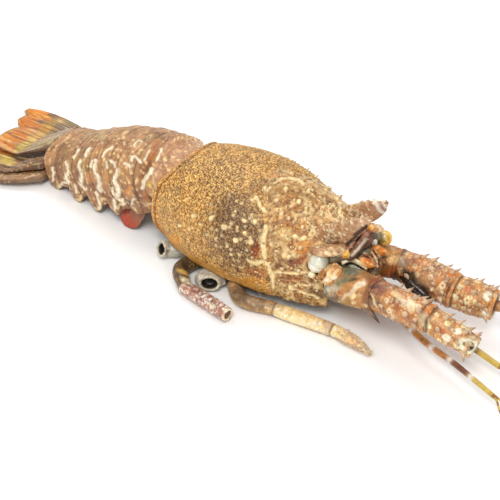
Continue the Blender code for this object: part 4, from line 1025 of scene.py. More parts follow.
ABDOMEN_MARKS = (
    ((155, 148), (3.0, 12), srgb(176, 118, 58), 0.8, 28),
    ((147, 169), (2.8, 13), srgb(136, 94, 52), 0.8, 35),
    ((156, 141), (3, 3), srgb(204, 146, 82), 0.5, 0), ((152, 155), (2, 4), srgb(206, 128, 54), 0.6, 20),
    ((128, 192), (4, 2.4), srgb(222, 158, 76), 0.8, 30),
    ((131, 188), (2, 2), srgb(224, 156, 70), 0.7, 0), ((128, 203), (4, 2.6), DARK_BROWN, 0.8, 0),
    ((106, 178), (2.6, 8), srgb(208, 150, 84), 0.7, -8),
    ((90, 177), (2.6, 6), srgb(206, 142, 92), 0.7, 0),
    ((150, 184), (3, 4), srgb(222, 196, 110), 0.6, 0), ((123.6, 137.6), (1.6, 1.4), SPOT, 0.9, 0),
    ((124, 142.4), (1.3, 1.3), SPOT, 0.9, 0), ((125, 133), (3.4, 1.5), SPOT, 0.8, -30),
    ((131, 173), (1.7, 1.4), CREAM, 0.9, 0), ((136.4, 182), (1.7, 2.6), SPOT, 0.9, 20),
    ((123, 174), (1.2, 1.2), SPOT, 0.8, 0), ((141, 171), (1.2, 1.4), SPOT, 0.8, 0),
    ((143.6, 173), (1.2, 1.2), SPOT, 0.8, 0), ((117, 149), (2.6, 1.5), SPOT, 0.8, 0),
    ((114, 153), (1.2, 1.2), SPOT, 0.8, 0), ((118, 156), (1.4, 2.2), SPOT, 0.8, -20),
    ((110.6, 172), (1.3, 1.8), SPOT, 0.8, 0), ((141, 150), (1.8, 1.4), SPOT, 0.8, -20),
    ((165, 158), (2.0, 2.0), SPOT, 0.9, 0), ((166, 165), (1.6, 1.3), SPOT, 0.9, 0),
    ((146, 163), (1.2, 1.4), SPOT, 0.8, 0), ((60, 158), (5, 12), srgb(136, 106, 84), 0.6, 15),
    ((102, 136), (4, 5), srgb(206, 190, 140), 0.6, 0))


def abdomen_grid(index):
    """Give the rings of one abdomen segment, with the share along and the share round."""
    front = np.array(ABDOMEN_JOINTS[index], float)
    rear = np.array(ABDOMEN_JOINTS[index + 1], float)
    if index:
        front[0] -= GAP / math.cos(math.radians(front[2]))
    stations, half_count = ABDOMEN_GRID
    shares = np.linspace(0.0, 1.0, stations)
    places, values = SEGMENT_INSETS[1 if index == 0 else 0]
    grid = np.zeros((stations, 2 * half_count - 2, 3))
    for k, share in enumerate(shares):
        inset = float(soft_read(np.array(share), places, values, 0.04))
        joint = front + (rear - front) * share
        line = resample(abdomen_line(joint, share, index, inset), half_count)
        lean = math.radians(joint[2])
        down = np.array((math.sin(lean), 0.0, -math.cos(lean)))
        base = np.array((joint[0], 0.0, joint[1])) + line[:, 1:2] * down
        right = base - Y_AXIS * line[:, 0:1]
        grid[k] = np.concatenate((right, right[-2:0:-1] * MIRROR))
    half_part = np.linspace(0.0, 1.0, half_count)
    part = np.broadcast_to(np.concatenate((half_part, half_part[-2:0:-1])), grid.shape[:2])
    return grid, np.broadcast_to(shares[:, None], grid.shape[:2]), part


def abdomen_ring(index, material):
    """Make one ring of the abdomen with its groove, wavy pale lines and hard edges."""
    grid, share, part = abdomen_grid(index)
    normals = grid_normals(grid)
    middle = grid.mean(axis=1, keepdims=True)
    if ((grid - middle) * normals).sum() < 0:
        normals = -normals
    soft = layered(grid, 7.0, 31)
    fine = layered(grid, 2.6, 35)
    _, around = ring_lengths(grid)
    along = share * 22.0
    belly = ramp(part, 0.66, 0.74)
    place, seen = mark_frame(grid, normals, 0.8, 60)
    lower = ramp(part, 0.34, 0.5) * (1.0 - belly) * (index > 0)
    dots = dotted(along, around, 4.3, 40 + index, 0.2, 0.42)
    specks = dotted(along, around, 1.7, 48 + index, 0.26, 0.5)
    wave = 0.06 * noise(grid, 4.2, 51 + index) + 0.035 * noise(grid, 1.9, 53)
    broken = ramp(layered(grid, 3.4, 57 + index), -0.2, 0.15)
    lines = hill(share + 1.5 * wave, 0.62, 0.035) * broken
    lines = np.maximum(lines, 0.7 * hill(share + wave, 0.9, 0.025) * broken)
    colour = blend(
        PINK_TAN, (PINK_DARK, 0.7 * ramp(layered(grid, 6.0, 37), -0.25, 0.5)),
        (OLIVE, 0.3 * ramp(layered(grid, 9.0, 39), 0.0, 0.5)),
        (srgb(134, 92, 64), 0.7 * lower * ramp(soft, -0.5, 0.2)),
        (srgb(210, 150, 86), 0.35 * lower * ramp(layered(grid, 5.0, 43), 0.1, 0.5)),
        (SPOT, 0.22 * specks), (SPOT, 0.6 * dots), (SPOT, 0.6 * lines * (1.0 - belly)),
        (DARK_BROWN, 0.5 * hill(share, 0.42, 0.03) * (index > 0)),
        # dark band where the segment meets the one before: the joint's own dark colour and painted
        # shade
        (DARK_BROWN, 0.6 * (1.0 - ramp(share, 0.02, 0.08))),
        (srgb(196, 150, 100), 0.6 * ramp(share, 0.955, 0.985)))
    if index == 0:
        rear_band = ramp(share + 0.5 * wave, 0.86, 0.9) * (1.0 - 0.7 * dots)
        rear_band = rear_band * (0.25 + 0.75 * ramp(part, 0.1, 0.25))
        pale_edge = hill(share + wave, 0.78, 0.03) * ramp(part, 0.05, 0.2) * broken
        colour = blend(
            colour, (srgb(206, 160, 128), 0.5), (SPOT, 0.85 * np.maximum(dots, 0.4 * specks)),
            (srgb(176, 120, 66), 0.7 * rear_band),
            (ORANGE_BROWN, 0.6 * rear_band * ramp(fine, 0.0, 0.4)), (CREAM, 0.85 * pale_edge))
    if index == 1:
        band = (1.0 - ramp(share + wave, 0.1, 0.16)) * ramp(share, 0.03, 0.07)
        band = band * (0.25 + 0.75 * ramp(part, 0.1, 0.25))
        colour = blend(
            colour, (srgb(172, 116, 62), 0.7 * band), (ORANGE_BROWN, 0.6 * band * ramp(fine, 0.0, 0.4)))
    colour = add_marks(colour, ABDOMEN_MARKS, place, seen * (1.0 - belly), 0.5, 0.85 + 0.35 * fine)
    bold = np.zeros(share.shape)
    uneven = 1.0 + 0.45 * layered(grid, 3.0, 63)
    for route, width in ABDOMEN_LINES:
        streak = line_mark(place + 1.1 * fine[..., None], route, width * uneven, 1.6) * seen
        bold = np.maximum(bold, streak)
    bold = bold * ramp(layered(grid, 2.0, 65), -0.8, -0.25)
    colour = deepen(colour, 1.14) * np.array(ABDOMEN_TONE)
    edge = hill(part + 0.012 * fine, 0.60, 0.014) * (index > 0) * broken
    # The belly takes the membrane colour darkened to 0.75: painted shade on the underside.
    colour = blend(
        colour, (srgb(104, 68, 44), 0.6 * ramp(bold, 0.02, 0.3) * (bold < 0.5)),
        (srgb(250, 234, 200), 0.92 * bold), (MEMBRANE * 0.75, 0.8 * belly), (SPOT, 0.75 * edge))
    colour = colour * (1.0 + 0.16 * noise(grid, 1.0, 6) + 0.08 * soft)[..., None]
    relief = 0.3 * dots + 0.12 * specks + 0.22 * lines + 0.6 * bold + 0.18 * fine
    relief = relief - 0.45 * hill(share, 0.42, 0.03) * (index > 0) * (1.0 - belly)
    relief = relief * ramp(share, 0.0, 0.03) * ramp(1.0 - share, 0.0, 0.03) * (1.0 - belly)
    single(f"abdomen_skin_{index + 1}", lift(grid, normals, relief), colour, 0.5, material,
           (f"abdomen_{index + 1}",))


# Tail fan

TAIL_MARKS = (
    ((22, 170), (24, 11), srgb(182, 134, 88), 0.5, 4), ((34, 112), (13, 5), ORANGE_GOLD, 0.95, 18),
    ((28, 124), (10, 9), ORANGE, 0.95, -40), ((20, 136), (8, 6), ORANGE, 0.9, -40),
    ((5, 150), (9, 7), ORANGE, 0.85, -30), ((42, 133), (20, 3.6), GOLD, 0.9, -34),
    ((24, 145), (12, 3), OLIVE_YELLOW, 0.9, -30), ((53, 116), (6, 2.2), DARK_BROWN, 0.8, 24),
    ((41, 121), (4, 1.8), GREY_MAUVE, 0.7, -5), ((54, 124), (7, 2.6), OLIVE_YELLOW, 0.6, -20),
    ((46, 142), (14, 5), OLIVE, 0.6, -30), ((6, 160), (8, 4.4), OLIVE_YELLOW, 0.9, 18),
    ((66, 130), (13, 4), GREY_MAUVE, 0.8, 22), ((30, 156), (13, 3.4), ANTENNA_MAUVE, 0.6, 14),
    ((22, 161), (11, 1.6), DARK_BROWN, 0.8, 24), ((12, 167), (15, 1.4), DARK_BROWN, 0.8, 4),
    ((28, 171), (5, 3), ORANGE, 0.6, 0), ((16, 177), (22, 4), srgb(180, 140, 104), 0.7, 3),
    ((36, 167), (4, 6), srgb(110, 96, 66), 0.7, 0))


def plate_grid(rows, level_low, thick_at, crown):
    """Give the closed rings of one thin tail plate between its near and far edges."""
    side_count, steps = FAN_GRID
    rows = np.array(rows, float)
    x = np.linspace(rows[0, 0], rows[-1, 0], steps)
    order = rows[::-1, 0]
    near = soft_read(x, order, rows[::-1, 1], 4.0)
    far = soft_read(x, order, rows[::-1, 2], 4.0)
    share = np.linspace(0.0, 1.0, side_count)
    y = near[:, None] + (far - near)[:, None] * share[None, :]
    low = level_low(x)[:, None]
    thick = thick_at(x)[:, None]
    rise = crown * (1.0 - (2.0 * share - 1.0) ** 2)[None, :]
    taper = np.minimum(1.0, np.minimum(share, 1.0 - share)[None, :] * 9.0)
    top = low + thick * (0.65 + 0.35 * taper) + rise
    bottom = low + thick * 0.21 * (1.0 - taper)
    wide = np.broadcast_to(x[:, None], y.shape)
    upper = np.stack((wide, y, top), axis=-1)
    lower = np.stack((wide, y, bottom), axis=-1)[:, ::-1]
    return np.concatenate((upper, lower), axis=1), share


def tail_plate(name, node, material, rows, level_low, thick_at, crown, ribs, seed):
    """Give one plate with ribs, streaks along it and a dark edge."""
    grid, share = plate_grid(rows, level_low, thick_at, crown)
    count = len(share)
    span = np.broadcast_to(np.concatenate((share, share[::-1]))[None, :], grid.shape[:2])
    along = (rows[0][0] - grid[..., 0]) / (rows[0][0] - rows[-1][0])
    upper = np.zeros(grid.shape[:2])
    upper[:, :count] = 1.0
    normals = np.zeros(grid.shape)
    normals[:, :count, 2] = 1.0
    normals[:, count:, 2] = -1.0
    place, seen = mark_frame(grid, normals, 1.6, 70)
    rays = np.stack((along * 5.0, span * 26.0, 0.0 * span + seed), axis=-1)
    streak = noise(rays, 1.0, seed)
    broad = layered(grid * np.array((0.35, 1.0, 1.0)), 9.0, seed + 3)
    colour = blend(
        GREY_MAUVE, (PINK_DARK, 0.6 * ramp(broad, -0.1, 0.5)),
        (OLIVE, 0.55 * ramp(along + 0.16 * broad, 0.3, 0.5)),
        (ORANGE_GOLD, 0.75 * ramp(along + 0.2 * broad, 0.5, 0.8)),
        (ORANGE, 0.6 * ramp(broad, 0.1, 0.6) * ramp(along, 0.4, 0.7)))
    colour = add_marks(colour, TAIL_MARKS, place, seen * upper, 0.6)
    dots = dotted(along * 80.0, span * 30.0, 2.8, seed + 9, 0.2, 0.5)
    dots = dots * (1.0 - ramp(along, 0.3, 0.5))
    side_edge = np.maximum(hill(span, 0.0, 0.03), hill(span, 1.0, 0.03))
    colour = blend(
        colour, (DARK_BROWN, 0.45 * ramp(streak, 0.1, 0.7) * ramp(along, 0.15, 0.5)),
        (SPOT, 0.35 * ramp(-streak, 0.15, 0.6)), (SPOT, 0.7 * dots), (DARK_BROWN, 0.6 * side_edge),
        (srgb(190, 140, 84), 0.6 * ramp(along + 0.02 * streak, 0.95, 0.98)))
    colour = colour * (1.0 + 0.12 * noise(grid, 1.3, 6) + 0.10 * broad)[..., None]
    colour = deepen(colour, 1.1)
    waves = np.maximum(0.0, np.sin(span * math.pi * ribs)) ** 2
    relief = (0.34 * waves + 0.14 * streak) * ramp(along, 0.02, 0.12) + 0.25 * dots
    relief = relief * upper * (1.0 - side_edge)
    grid[..., 2] += relief
    single(name, grid, colour, 0.3, material, (node,))


def fan_low(x):
    """Give the height of the sheet that the tail plates follow."""
    return soft_read(x, FAN_X[::-1], FAN_LOW_Z[::-1], 5.0)


def tail_fan(material):
    """Make the telson and the four uropods."""
    telson_rows = [(x, -h, h) for x, h in zip(FAN_X[:5], (16.5, 17.5, 18.5, 19.0, 19.5))]
    telson_rows += [(-246.0, -18.0, 18.0), (-251.5, -10.0, 10.0)]
    tail_plate(
        "telson_skin", "telson", material, telson_rows,
        lambda x: fan_low(x) + FAN_LIFT[1] + 2 * FAN_LEVEL_STEP + 11.6 * ramp_line(x, -220, -184),
        lambda x: FAN_THICK + 7.0 * ramp_line(x, -220, -184), 1.2, 11, 101)
    inner_rows = ((-184.4, 11.6, 25.0), (-194, 12.5, 30.0), (-206, 13.5, 34.5),
                  (-220, 14.0, 37.0), (-236, 15.0, 38.0), (-250, 15.5, 37.5),
                  (-259, 18.0, 35.5), (-264.5, 24.0, 32.0))
    outer_rows = ((-184.4, 12.4, 27.4), (-194, 17.0, 37.0), (-206, 23.0, 44.0),
                  (-220, 27.0, 48.0), (-236, 30.0, 50.5), (-250, 32.0, 51.5),
                  (-265, 35.0, 50.0), (-274.5, 40.0, 46.0))
    for side, tag in SIDES:
        for level, name, rows in ((1, "uropod_inner", inner_rows), (0, "uropod_outer", outer_rows)):
            spread = [(x, side * near, side * far * FAN_SPREAD[side]) for x, near, far in rows]

            def low_at(x):
                """Give the height of the plate's lower side at x."""
                swell = ramp_line(x, -212, -184)
                return (fan_low(x) + FAN_LIFT[side] - 1.5 * swell
                        + level * (FAN_LEVEL_STEP + 7.5 * swell))

            def thick_at(x):
                """Give the plate's thickness at x."""
                return FAN_THICK + 6.0 * ramp_line(x, -212, -184)

            tail_plate(f"{name}_skin_{tag}", f"{name}_{tag}", material, spread, low_at, thick_at,
                       0.2, 9, 110 + 7 * level + side)


def ramp_line(value, low, high):
    """Rise evenly from 0 at low to 1 at high."""
    return np.clip((value - low) / (high - low), 0.0, 1.0)


def swimmerets(material):
    """Make the flaps under segments 2 to 5."""
    shapes = ((22.0, 24.0), (13.5, 15.0), (8.5, 12.0), (6.0, 10.0))
    for index, (length, width) in enumerate(shapes, start=1):
        front = np.array(ABDOMEN_JOINTS[index], float)
        rear = np.array(ABDOMEN_JOINTS[index + 1], float)
        middle = front + (rear - front) * 0.84
        lean = math.radians(middle[2])
        down = np.array((math.sin(lean), 0.0, -math.cos(lean)))
        belly = np.array((middle[0], 0.0, middle[1])) + down * (middle[4] + 0.2)
        slope = np.array((math.cos(lean), 0.0, math.sin(lean)))
        for side, tag in SIDES:
            root = belly + np.array((0, side * (middle[3] * 0.62), 0)) + down * GAP
            swing = down + np.array((0, side * 0.34, 0)) + np.array((-0.8, 0, 0))
            path = [root + swing * length * s for s in (0.0, 0.3, 0.65, 0.9, 1.0)]
            sizes = [(1.6, width * 0.45), (1.5, width * 0.95), (1.4, width),
                     (1.2, width * 0.7), (1.0, width * 0.3)]
            grid, share = tube(path, sizes, 44, 56, start=(root, -down),
                               hint=np.cross(swing, slope))[:2]
            soft = layered(grid, 4.0, 140 + index)
            ribs = 0.1 * np.sin(grid[..., 0] * 2.2 + soft * 2.0)
            colour = blend(
                BRICK, (RUST, ramp(soft, -0.2, 0.7) * 0.5),
                (srgb(164, 112, 80), 0.85 * (1.0 - ramp(share + 0.1 * soft, 0.4, 0.75))),
                (srgb(122, 70, 48), 0.6 * (1.0 - ramp(share, 0.15, 0.4))),
                (srgb(196, 70, 46), 0.6 * ramp(share, 0.6, 0.85)))
            colour = colour * (0.88 + 0.2 * layered(grid, 1.6, 150))[..., None]
            grid = lift(grid, grid_normals(grid), 0.12 * soft + ribs)
            grid[..., 2] = np.maximum(grid[..., 2], FLAP_LOWEST)
            single(f"swimmeret_skin_{tag}{index + 1}", grid, colour, 0.1, material,
                   (f"swimmeret_{tag}{index + 1}",))


# Antennae

# Antenna patches: centre, radii, shade, strength and turn.
# The black-brown patch at (414.6, 281.6) is painted shadow under the left stalk, between the stalks.
ANTENNA_MARKS = (
    ((403.6, 262.6), (5.4, 4.2), srgb(156, 140, 114), 0.85, 50),
    ((414.6, 281.6), (19, 6.2), BLACK_BROWN, 0.97, 43),
    ((430, 291), (8, 1.8), srgb(118, 72, 58), 0.85, 45),
    ((398, 266), (1.6, 8), srgb(186, 148, 108), 0.8, 0),
    ((353, 270), (10, 6.4), srgb(126, 136, 122), 0.95, -5),
    ((367, 275), (6, 4.4), srgb(146, 108, 60), 0.85, 20),
    ((350, 280.4), (9, 1.9), srgb(70, 52, 36), 0.85, -12),
    ((385, 269), (4, 8), srgb(120, 84, 48), 0.7, 20), ((331, 288), (9, 3.4), MEMBRANE, 0.95, -8),
    ((334, 300), (6, 3.6), srgb(112, 106, 96), 0.85, 25), ((343, 281), (9, 3.6), GREY_GREEN, 0.8, -20),
    ((352, 292), (13, 2.2), WHITE, 0.75, -38), ((346, 302), (4, 6), OLIVE, 0.6, 20),
    ((360.6, 284), (6.5, 2.8), WHITE, 0.95, -25), ((353, 296.4), (2.4, 2.4), CREAM, 0.95, 0),
    ((354, 302.6), (2.0, 2.0), CREAM, 0.95, 0), ((365, 305), (3, 1.8), CREAM, 0.8, 40),
    ((372, 281), (7, 2.6), RUST, 0.8, 0), ((388, 277), (7, 8), RUST, 0.75, 20),
    ((396, 280), (4, 9), DARK_BROWN, 0.8, -10), ((392, 268), (6, 4), RUST, 0.7, 0),
    ((395, 259), (7, 4), SPOT, 0.6, -10), ((403, 262), (4, 5), srgb(172, 150, 128), 0.7, 0),
    ((378, 290), (8, 6.5), ANTENNA_MAUVE, 0.95, 35), ((374, 287), (5, 1.6), DARK_BROWN, 0.8, 0),
    ((371, 299), (1.5, 9), DARK_BROWN, 0.75, -25), ((376, 302), (1.3, 10), DARK_BROWN, 0.75, -28),
    ((374, 300), (1.0, 9), SPOT, 0.6, -27), ((381, 305), (1.2, 9), DARK_BROWN, 0.6, -32),
    ((398, 296), (8, 3), SPOT, 0.6, 35), ((412, 306), (5, 5), CREAM, 0.8, 0),
    ((404, 302), (6, 2.6), WHITE, 0.6, 25), ((397, 308), (2.6, 4), ANTENNA_MAUVE, 0.7, 0),
    ((421, 313), (3, 3), ANTENNA_MAUVE, 0.7, 0), ((423, 320), (5, 9), srgb(206, 188, 152), 0.85, -20),
    ((430, 307), (2.4, 7), ORANGE, 0.85, 25), ((426, 325), (1.6, 8), DARK_BROWN, 0.7, -4),
    ((436, 326), (5, 4), RUST, 0.5, 40), ((442, 331), (5, 3), srgb(196, 108, 66), 0.6, 20),
    ((446, 338), (4.5, 3.2), WHITE, 0.9, 0), ((457, 331), (4.4, 3.4), WHITE, 0.9, 0),
    ((463, 340), (6, 3), ORANGE, 0.7, -25), ((488, 296), (4, 5), WHITE, 0.95, 0),
    ((486, 314), (4, 4.6), WHITE, 0.95, 0), ((497, 306), (4, 8), ORANGE_GOLD, 0.95, 0),
    ((452, 273), (5, 3.4), ORANGE, 0.85, 20), ((449, 290), (1.6, 11), DARK_BROWN, 0.75, 28),
    ((430.5, 277.6), (2.8, 3), CREAM, 0.95, 0), ((430.5, 277.6), (1.1, 1.2), RUST, 0.8, 0),
    ((443, 285), (3, 3.4), CREAM, 0.9, 0), ((443, 285), (1.3, 1.5), RUST, 0.8, 0),
    ((432, 289.4), (2.0, 2.0), CREAM, 0.9, 0), ((467, 300.4), (3, 3.2), CREAM, 0.95, 0),
    ((467, 300.4), (1.2, 1.3), RUST, 0.8, 0), ((455, 296), (2.2, 2.2), CREAM, 0.9, 0),
    ((463, 287), (1.8, 1.8), CREAM, 0.8, 0), ((412, 262), (9, 4), ANTENNA_MAUVE, 0.55, 20),
    ((470, 291), (8, 4), srgb(206, 104, 60), 0.6, 30),
    ((424, 279), (10, 6), srgb(196, 156, 112), 0.5, 30))


# Lines of the face: route, width, shade and strength
# The dark red-brown slots and the dark line under the pale strip are painted shade in the gaps
# between the face's parts; the pale lines are the face's own colour.
FACE_LINES_AND_SLOT_SHADE = (
    (((347, 245), (351, 241), (356, 237.6)), 3.4, srgb(62, 32, 26), 0.95),
    (((355, 235), (360, 231), (366, 226.4)), 3.6, srgb(62, 32, 26), 0.95),
    (((352, 255.4), (358.6, 248), (366, 239)), 2.2, srgb(214, 202, 172), 0.9),
    (((353, 259.4), (361, 251), (368, 242.6)), 2.6, srgb(70, 44, 32), 0.85),
    (((356, 260), (363, 253), (369, 247)), 1.4, srgb(206, 190, 156), 0.8),
    (((326, 253), (330, 254.6)), 3.2, SPOT, 0.8),
    (((334, 253), (338, 255.4), (342, 254)), 2.4, SPOT, 0.8),
    (((331, 248), (334, 250.6)), 1.6, SPOT, 0.7), (((340, 247), (343, 250)), 1.4, SPOT, 0.7))


def face_lines(colour, grid, wobble):
    """Draw the face's pale strips and the painted shade of its dark slots where the photo shows them.
    """
    normals = grid_normals(grid)
    outward = ((grid - grid.mean(axis=(0, 1))) * normals).sum()
    place, seen = mark_frame(grid, normals if outward > 0 else -normals, 0.0)
    place = place + 0.9 * wobble[..., None]
    for route, width, shade, strength in FACE_LINES_AND_SLOT_SHADE:
        streak = line_mark(place, route, width, 1.2) * seen
        colour = mix(colour, shade, strength * streak)
    return colour


def paint_stalk(grid, share, turn, seed, part, rows_of_spines):
    """Give colours and relief of one antenna segment, with pale rings, folds and spine roots."""
    normals = grid_normals(grid)
    place, seen = mark_frame(grid, normals, 1.2, seed)
    soft = layered(grid, 6.0, seed)
    fine = layered(grid, 2.4, seed + 4)
    along, around = ring_lengths(grid)
    ring_spot = dotted(along, around, 6.4, seed + 8, 0.2, 0.55)
    heart = dotted(along, around, 6.4, seed + 8, 0.07, 0.55, 0.05)
    specks = dotted(along, around, 2.2, seed + 12, 0.24, 0.6)
    streaks = hill(layered(grid, 3.2, seed + 15), 0.12, 0.05) * ramp(soft, -0.4, 0.2)
    veins = hill(fine, 0.0, 0.07) * ramp(soft, -0.3, 0.4)
    colour = blend(
        ANTENNA_BROWN, (ANTENNA_MAUVE, 0.8 * ramp(soft, -0.1, 0.45)),
        (srgb(222, 172, 122), 0.6 * ramp(-soft, 0.0, 0.5)),
        (ORANGE, 0.5 * ramp(layered(grid, 8.0, seed + 2), 0.1, 0.5)), (SPOT, 0.5 * specks),
        (CREAM, 0.85 * ring_spot * ramp(fine, -0.7, 0.0)), (RUST, 0.6 * heart),
        (srgb(240, 208, 164), 0.55 * streaks), (SPOT, 0.45 * veins))
    halo = np.zeros(share.shape)
    for where, angle in rows_of_spines:
        away = np.abs(np.angle(np.exp(1j * (turn - math.radians(angle)))))
        near_spine = np.sqrt(((share - where) * 7.0) ** 2 + (away * 2.0) ** 2)
        halo = np.maximum(halo, 1.0 - ramp(near_spine, 0.22, 0.6))
    start_edge = 1.0 - ramp(share, 0.02, 0.08)
    end_edge = ramp(share + 0.03 * fine, 0.89, 0.95)
    colour = blend(
        colour, (GREY_MAUVE, 0.6 * halo * ramp(fine, -0.6, 0.1)), (DARK_BROWN, 0.65 * start_edge))
    if part:
        colour = blend(
            colour, (ORANGE, 0.45 * end_edge * ramp(fine, -0.5, 0.2)),
            (DARK_BROWN, 0.5 * hill(share, 0.885, 0.012)))
    else:
        folds = hill(np.sin(along * 1.5 + 3.0 * soft), 1.0, 0.5) * (1.0 - ramp(share, 0.25, 0.4))
        colour = blend(
            colour, (srgb(196, 154, 98), 0.5 * ramp(-soft, -0.5, 0.1)),
            (MEMBRANE, 0.5 * (1.0 - ramp(share, 0.12, 0.34))), (GREY_GREEN * 0.7, 0.5 * folds),
            (ANTENNA_MAUVE, 0.7 * end_edge))
    colour = add_marks(colour, ANTENNA_MARKS, place, seen, 0.4, 0.9 + 0.3 * fine)
    colour = colour * (1.0 + 0.14 * noise(grid, 1.0, 7) + 0.08 * soft)[..., None]
    # torn is the pale broken rim; hollow is black-brown painted shade inside the broken end.
    torn = spot_mark(place, (468, 345), (11, 7.4), 0.25, 18) * seen * (part == 2)
    hollow = spot_mark(place, (469, 345.6), (5.4, 3.4), 0.3, 18) * seen * (part == 2)
    colour = blend(
        colour, (srgb(232, 222, 200), 0.95 * torn),
        (BLACK_BROWN, 0.9 * hollow * ramp(fine, -0.9, -0.2)))
    relief = 0.32 * ring_spot + 0.12 * specks + 0.3 * soft + 0.3 * halo + 0.15 * veins
    relief = relief + 0.5 * torn - 2.0 * hollow
    relief = relief + 0.45 * hill(share, 0.95, 0.03) - 0.4 * hill(share, 0.885, 0.015)
    relief = relief * ramp(share, 0.0, 0.03) * ramp(1.0 - share, 0.0, 0.02)
    return deepen(colour, 1.15) * np.array(STALK_TONES[part]), lift(grid, normals, relief)


# Spines of a stalk segment: share along it and angles round it
ANTENNA_SPINES = ((0.22, (25, 95, 160)), (0.46, (-5, 62, 120, 190)),
                  (0.66, (30, 92, 155)), (0.84, (-20, 10, 55, 90, 125, 170, 200)))


def stalk_spines(pile, path, sizes, rng, reach, count_small):
    """Add the spines of one stalk segment, leaning forward, and small ones between."""
    first, last = path[0], path[-1]
    axis = unit(last - first)
    across = unit(np.cross(Z_AXIS, axis))
    up = np.cross(axis, across)
    grey = (SPOT, srgb(212, 178, 142), srgb(172, 142, 116))
    plan = [(share, turn, reach, 1.0) for share, turns in ANTENNA_SPINES for turn in turns]
    for _ in range(count_small):
        plan.append((rng.uniform(0.1, 0.93), rng.uniform(-40.0, 220.0), 1.7, 0.8))
    for share, turn, size, wide in plan:
        centre = first + (last - first) * share
        height, width = [float(np.interp(share, (0.0, 0.5, 1.0), row)) for row in zip(*sizes)]
        a = math.radians(turn + rng.uniform(-9.0, 9.0))
        out = across * math.cos(a) + up * math.sin(a)
        edge = centre + across * width / 2 * math.cos(a) + up * height / 2 * math.sin(a)
        length = size * rng.uniform(0.75, 1.2)
        tip = edge + unit(out + axis * 0.9) * length
        radius = (0.5 + 0.22 * length) * wide
        pile.add_grid(cone_grid(edge - out * 1.0, tip, radius), spine_colours(*grey), 0.0)


def antennae(material, gloss):
    """Make both antenna stalks: three segments each, the right one broken and hollow."""
    rng = random.Random(SEED + 1)
    start_plane = (np.array((67.6, 0.0, 0.0)), X_AXIS)
    for tag, joints, rows in (("R", ANTENNA_R, ANTENNA_SIZES_R), ("L", ANTENNA_L, ANTENNA_SIZES_L)):
        joints = [np.array(p, float) for p in joints]
        for k in range(3):
            a, b = joints[k], joints[k + 1]
            path = [a, a + (b - a) * 0.5, b]
            start = start_plane if k == 0 else mitre(joints[k - 1], a, b, GAP / 2)
            end = mitre(a, b, joints[k + 2], -GAP / 2) if k < 2 else None
            grid, share, turn, tangents, _ = tube(path, rows[k], *ANTENNA_GRID, start, end)
            spots = [(s, t) for s, turns in ANTENNA_SPINES for t in turns] if k else []
            colour, grid = paint_stalk(grid, share, turn, 150 + 10 * k, k, spots)
            if k == 2:
                ragged = 0.3 * noise(grid[-1][None], 1.6, 9)[0]
                grid[-1] += tangents[-1] * ragged[:, None]
                grid = hollow_end(grid, tangents, 1.3, (1.2, 3.0, 6.0))
                # Rings going into the open end darken to black-brown: painted shade inside the hollow.
                rim = (srgb(226, 206, 170), srgb(150, 112, 78), BLACK_BROWN, BLACK_BROWN)
                rim = np.repeat(np.array(rim)[:, None, :], grid.shape[1], axis=1)
                colour = np.concatenate((colour, rim))
            pile = Pile()
            pile.add_grid(grid, colour, 0.4)
            if k == 0:
                root, tip = JOINT_SPUR[tag]
                pile.add_grid(cone_grid(root, tip, SPUR_RADIUS, 14),
                              spine_colours(ANTENNA_MAUVE, srgb(136, 108, 84), DARK_BROWN), 0.0)
            pile.build(f"antenna_skin_{tag}_{k + 1}", material, (f"antenna_{tag}_{k + 1}",))
            if k:
                pile = Pile()
                stalk_spines(pile, path, rows[k], rng, 5.0, 16)
                pile.build(f"antenna_spines_{tag}_{k + 1}", material, ())
        # Dark glossy pad: a fringe of dark setae, its black-brown also painted shade in the gap.
        grid, share = tube(SETAE_AND_SHADE_PAD_PATH[tag], SETAE_AND_SHADE_PAD_SIZES, 60, 40)[:2]
        soft = layered(grid, 3.0, 161)
        ribs = hill(np.sin(share * 60.0), 1.0, 0.4)
        colour = blend(BLACK_BROWN, (srgb(70, 48, 34), ramp(soft, 0.1, 0.5)), (DARK_BROWN, 0.4 * ribs))
        single(f"antenna_setae_and_shade_pad_{tag}", lift(grid, grid_normals(grid), 0.3 * soft), colour, 0.0, gloss,
               ())
    shards = Pile()
    end = np.array(ANTENNA_R[3], float)
    axis = unit(end - np.array(ANTENNA_R[2], float))
    side_way = unit(np.cross(axis, Z_AXIS))
    for k in range(9):
        a = 2.0 * math.pi * k / 9 + rng.uniform(-0.2, 0.2)
        side = side_way * math.cos(a) + Z_AXIS * math.sin(a)
        root = end - axis * 2.2 + side * rng.uniform(1.6, 4.2)
        tip = end - axis * rng.uniform(-0.3, 1.2) + side * (2.6 + 0.4 * rng.uniform(0.4, 3.4))
        shards.add_grid(cone_grid(root, tip, rng.uniform(0.4, 0.8), 6),
                        spine_colours(MEMBRANE, WHITE, MEMBRANE), 0.0)
    shards.build("antenna_break_R", material, ())


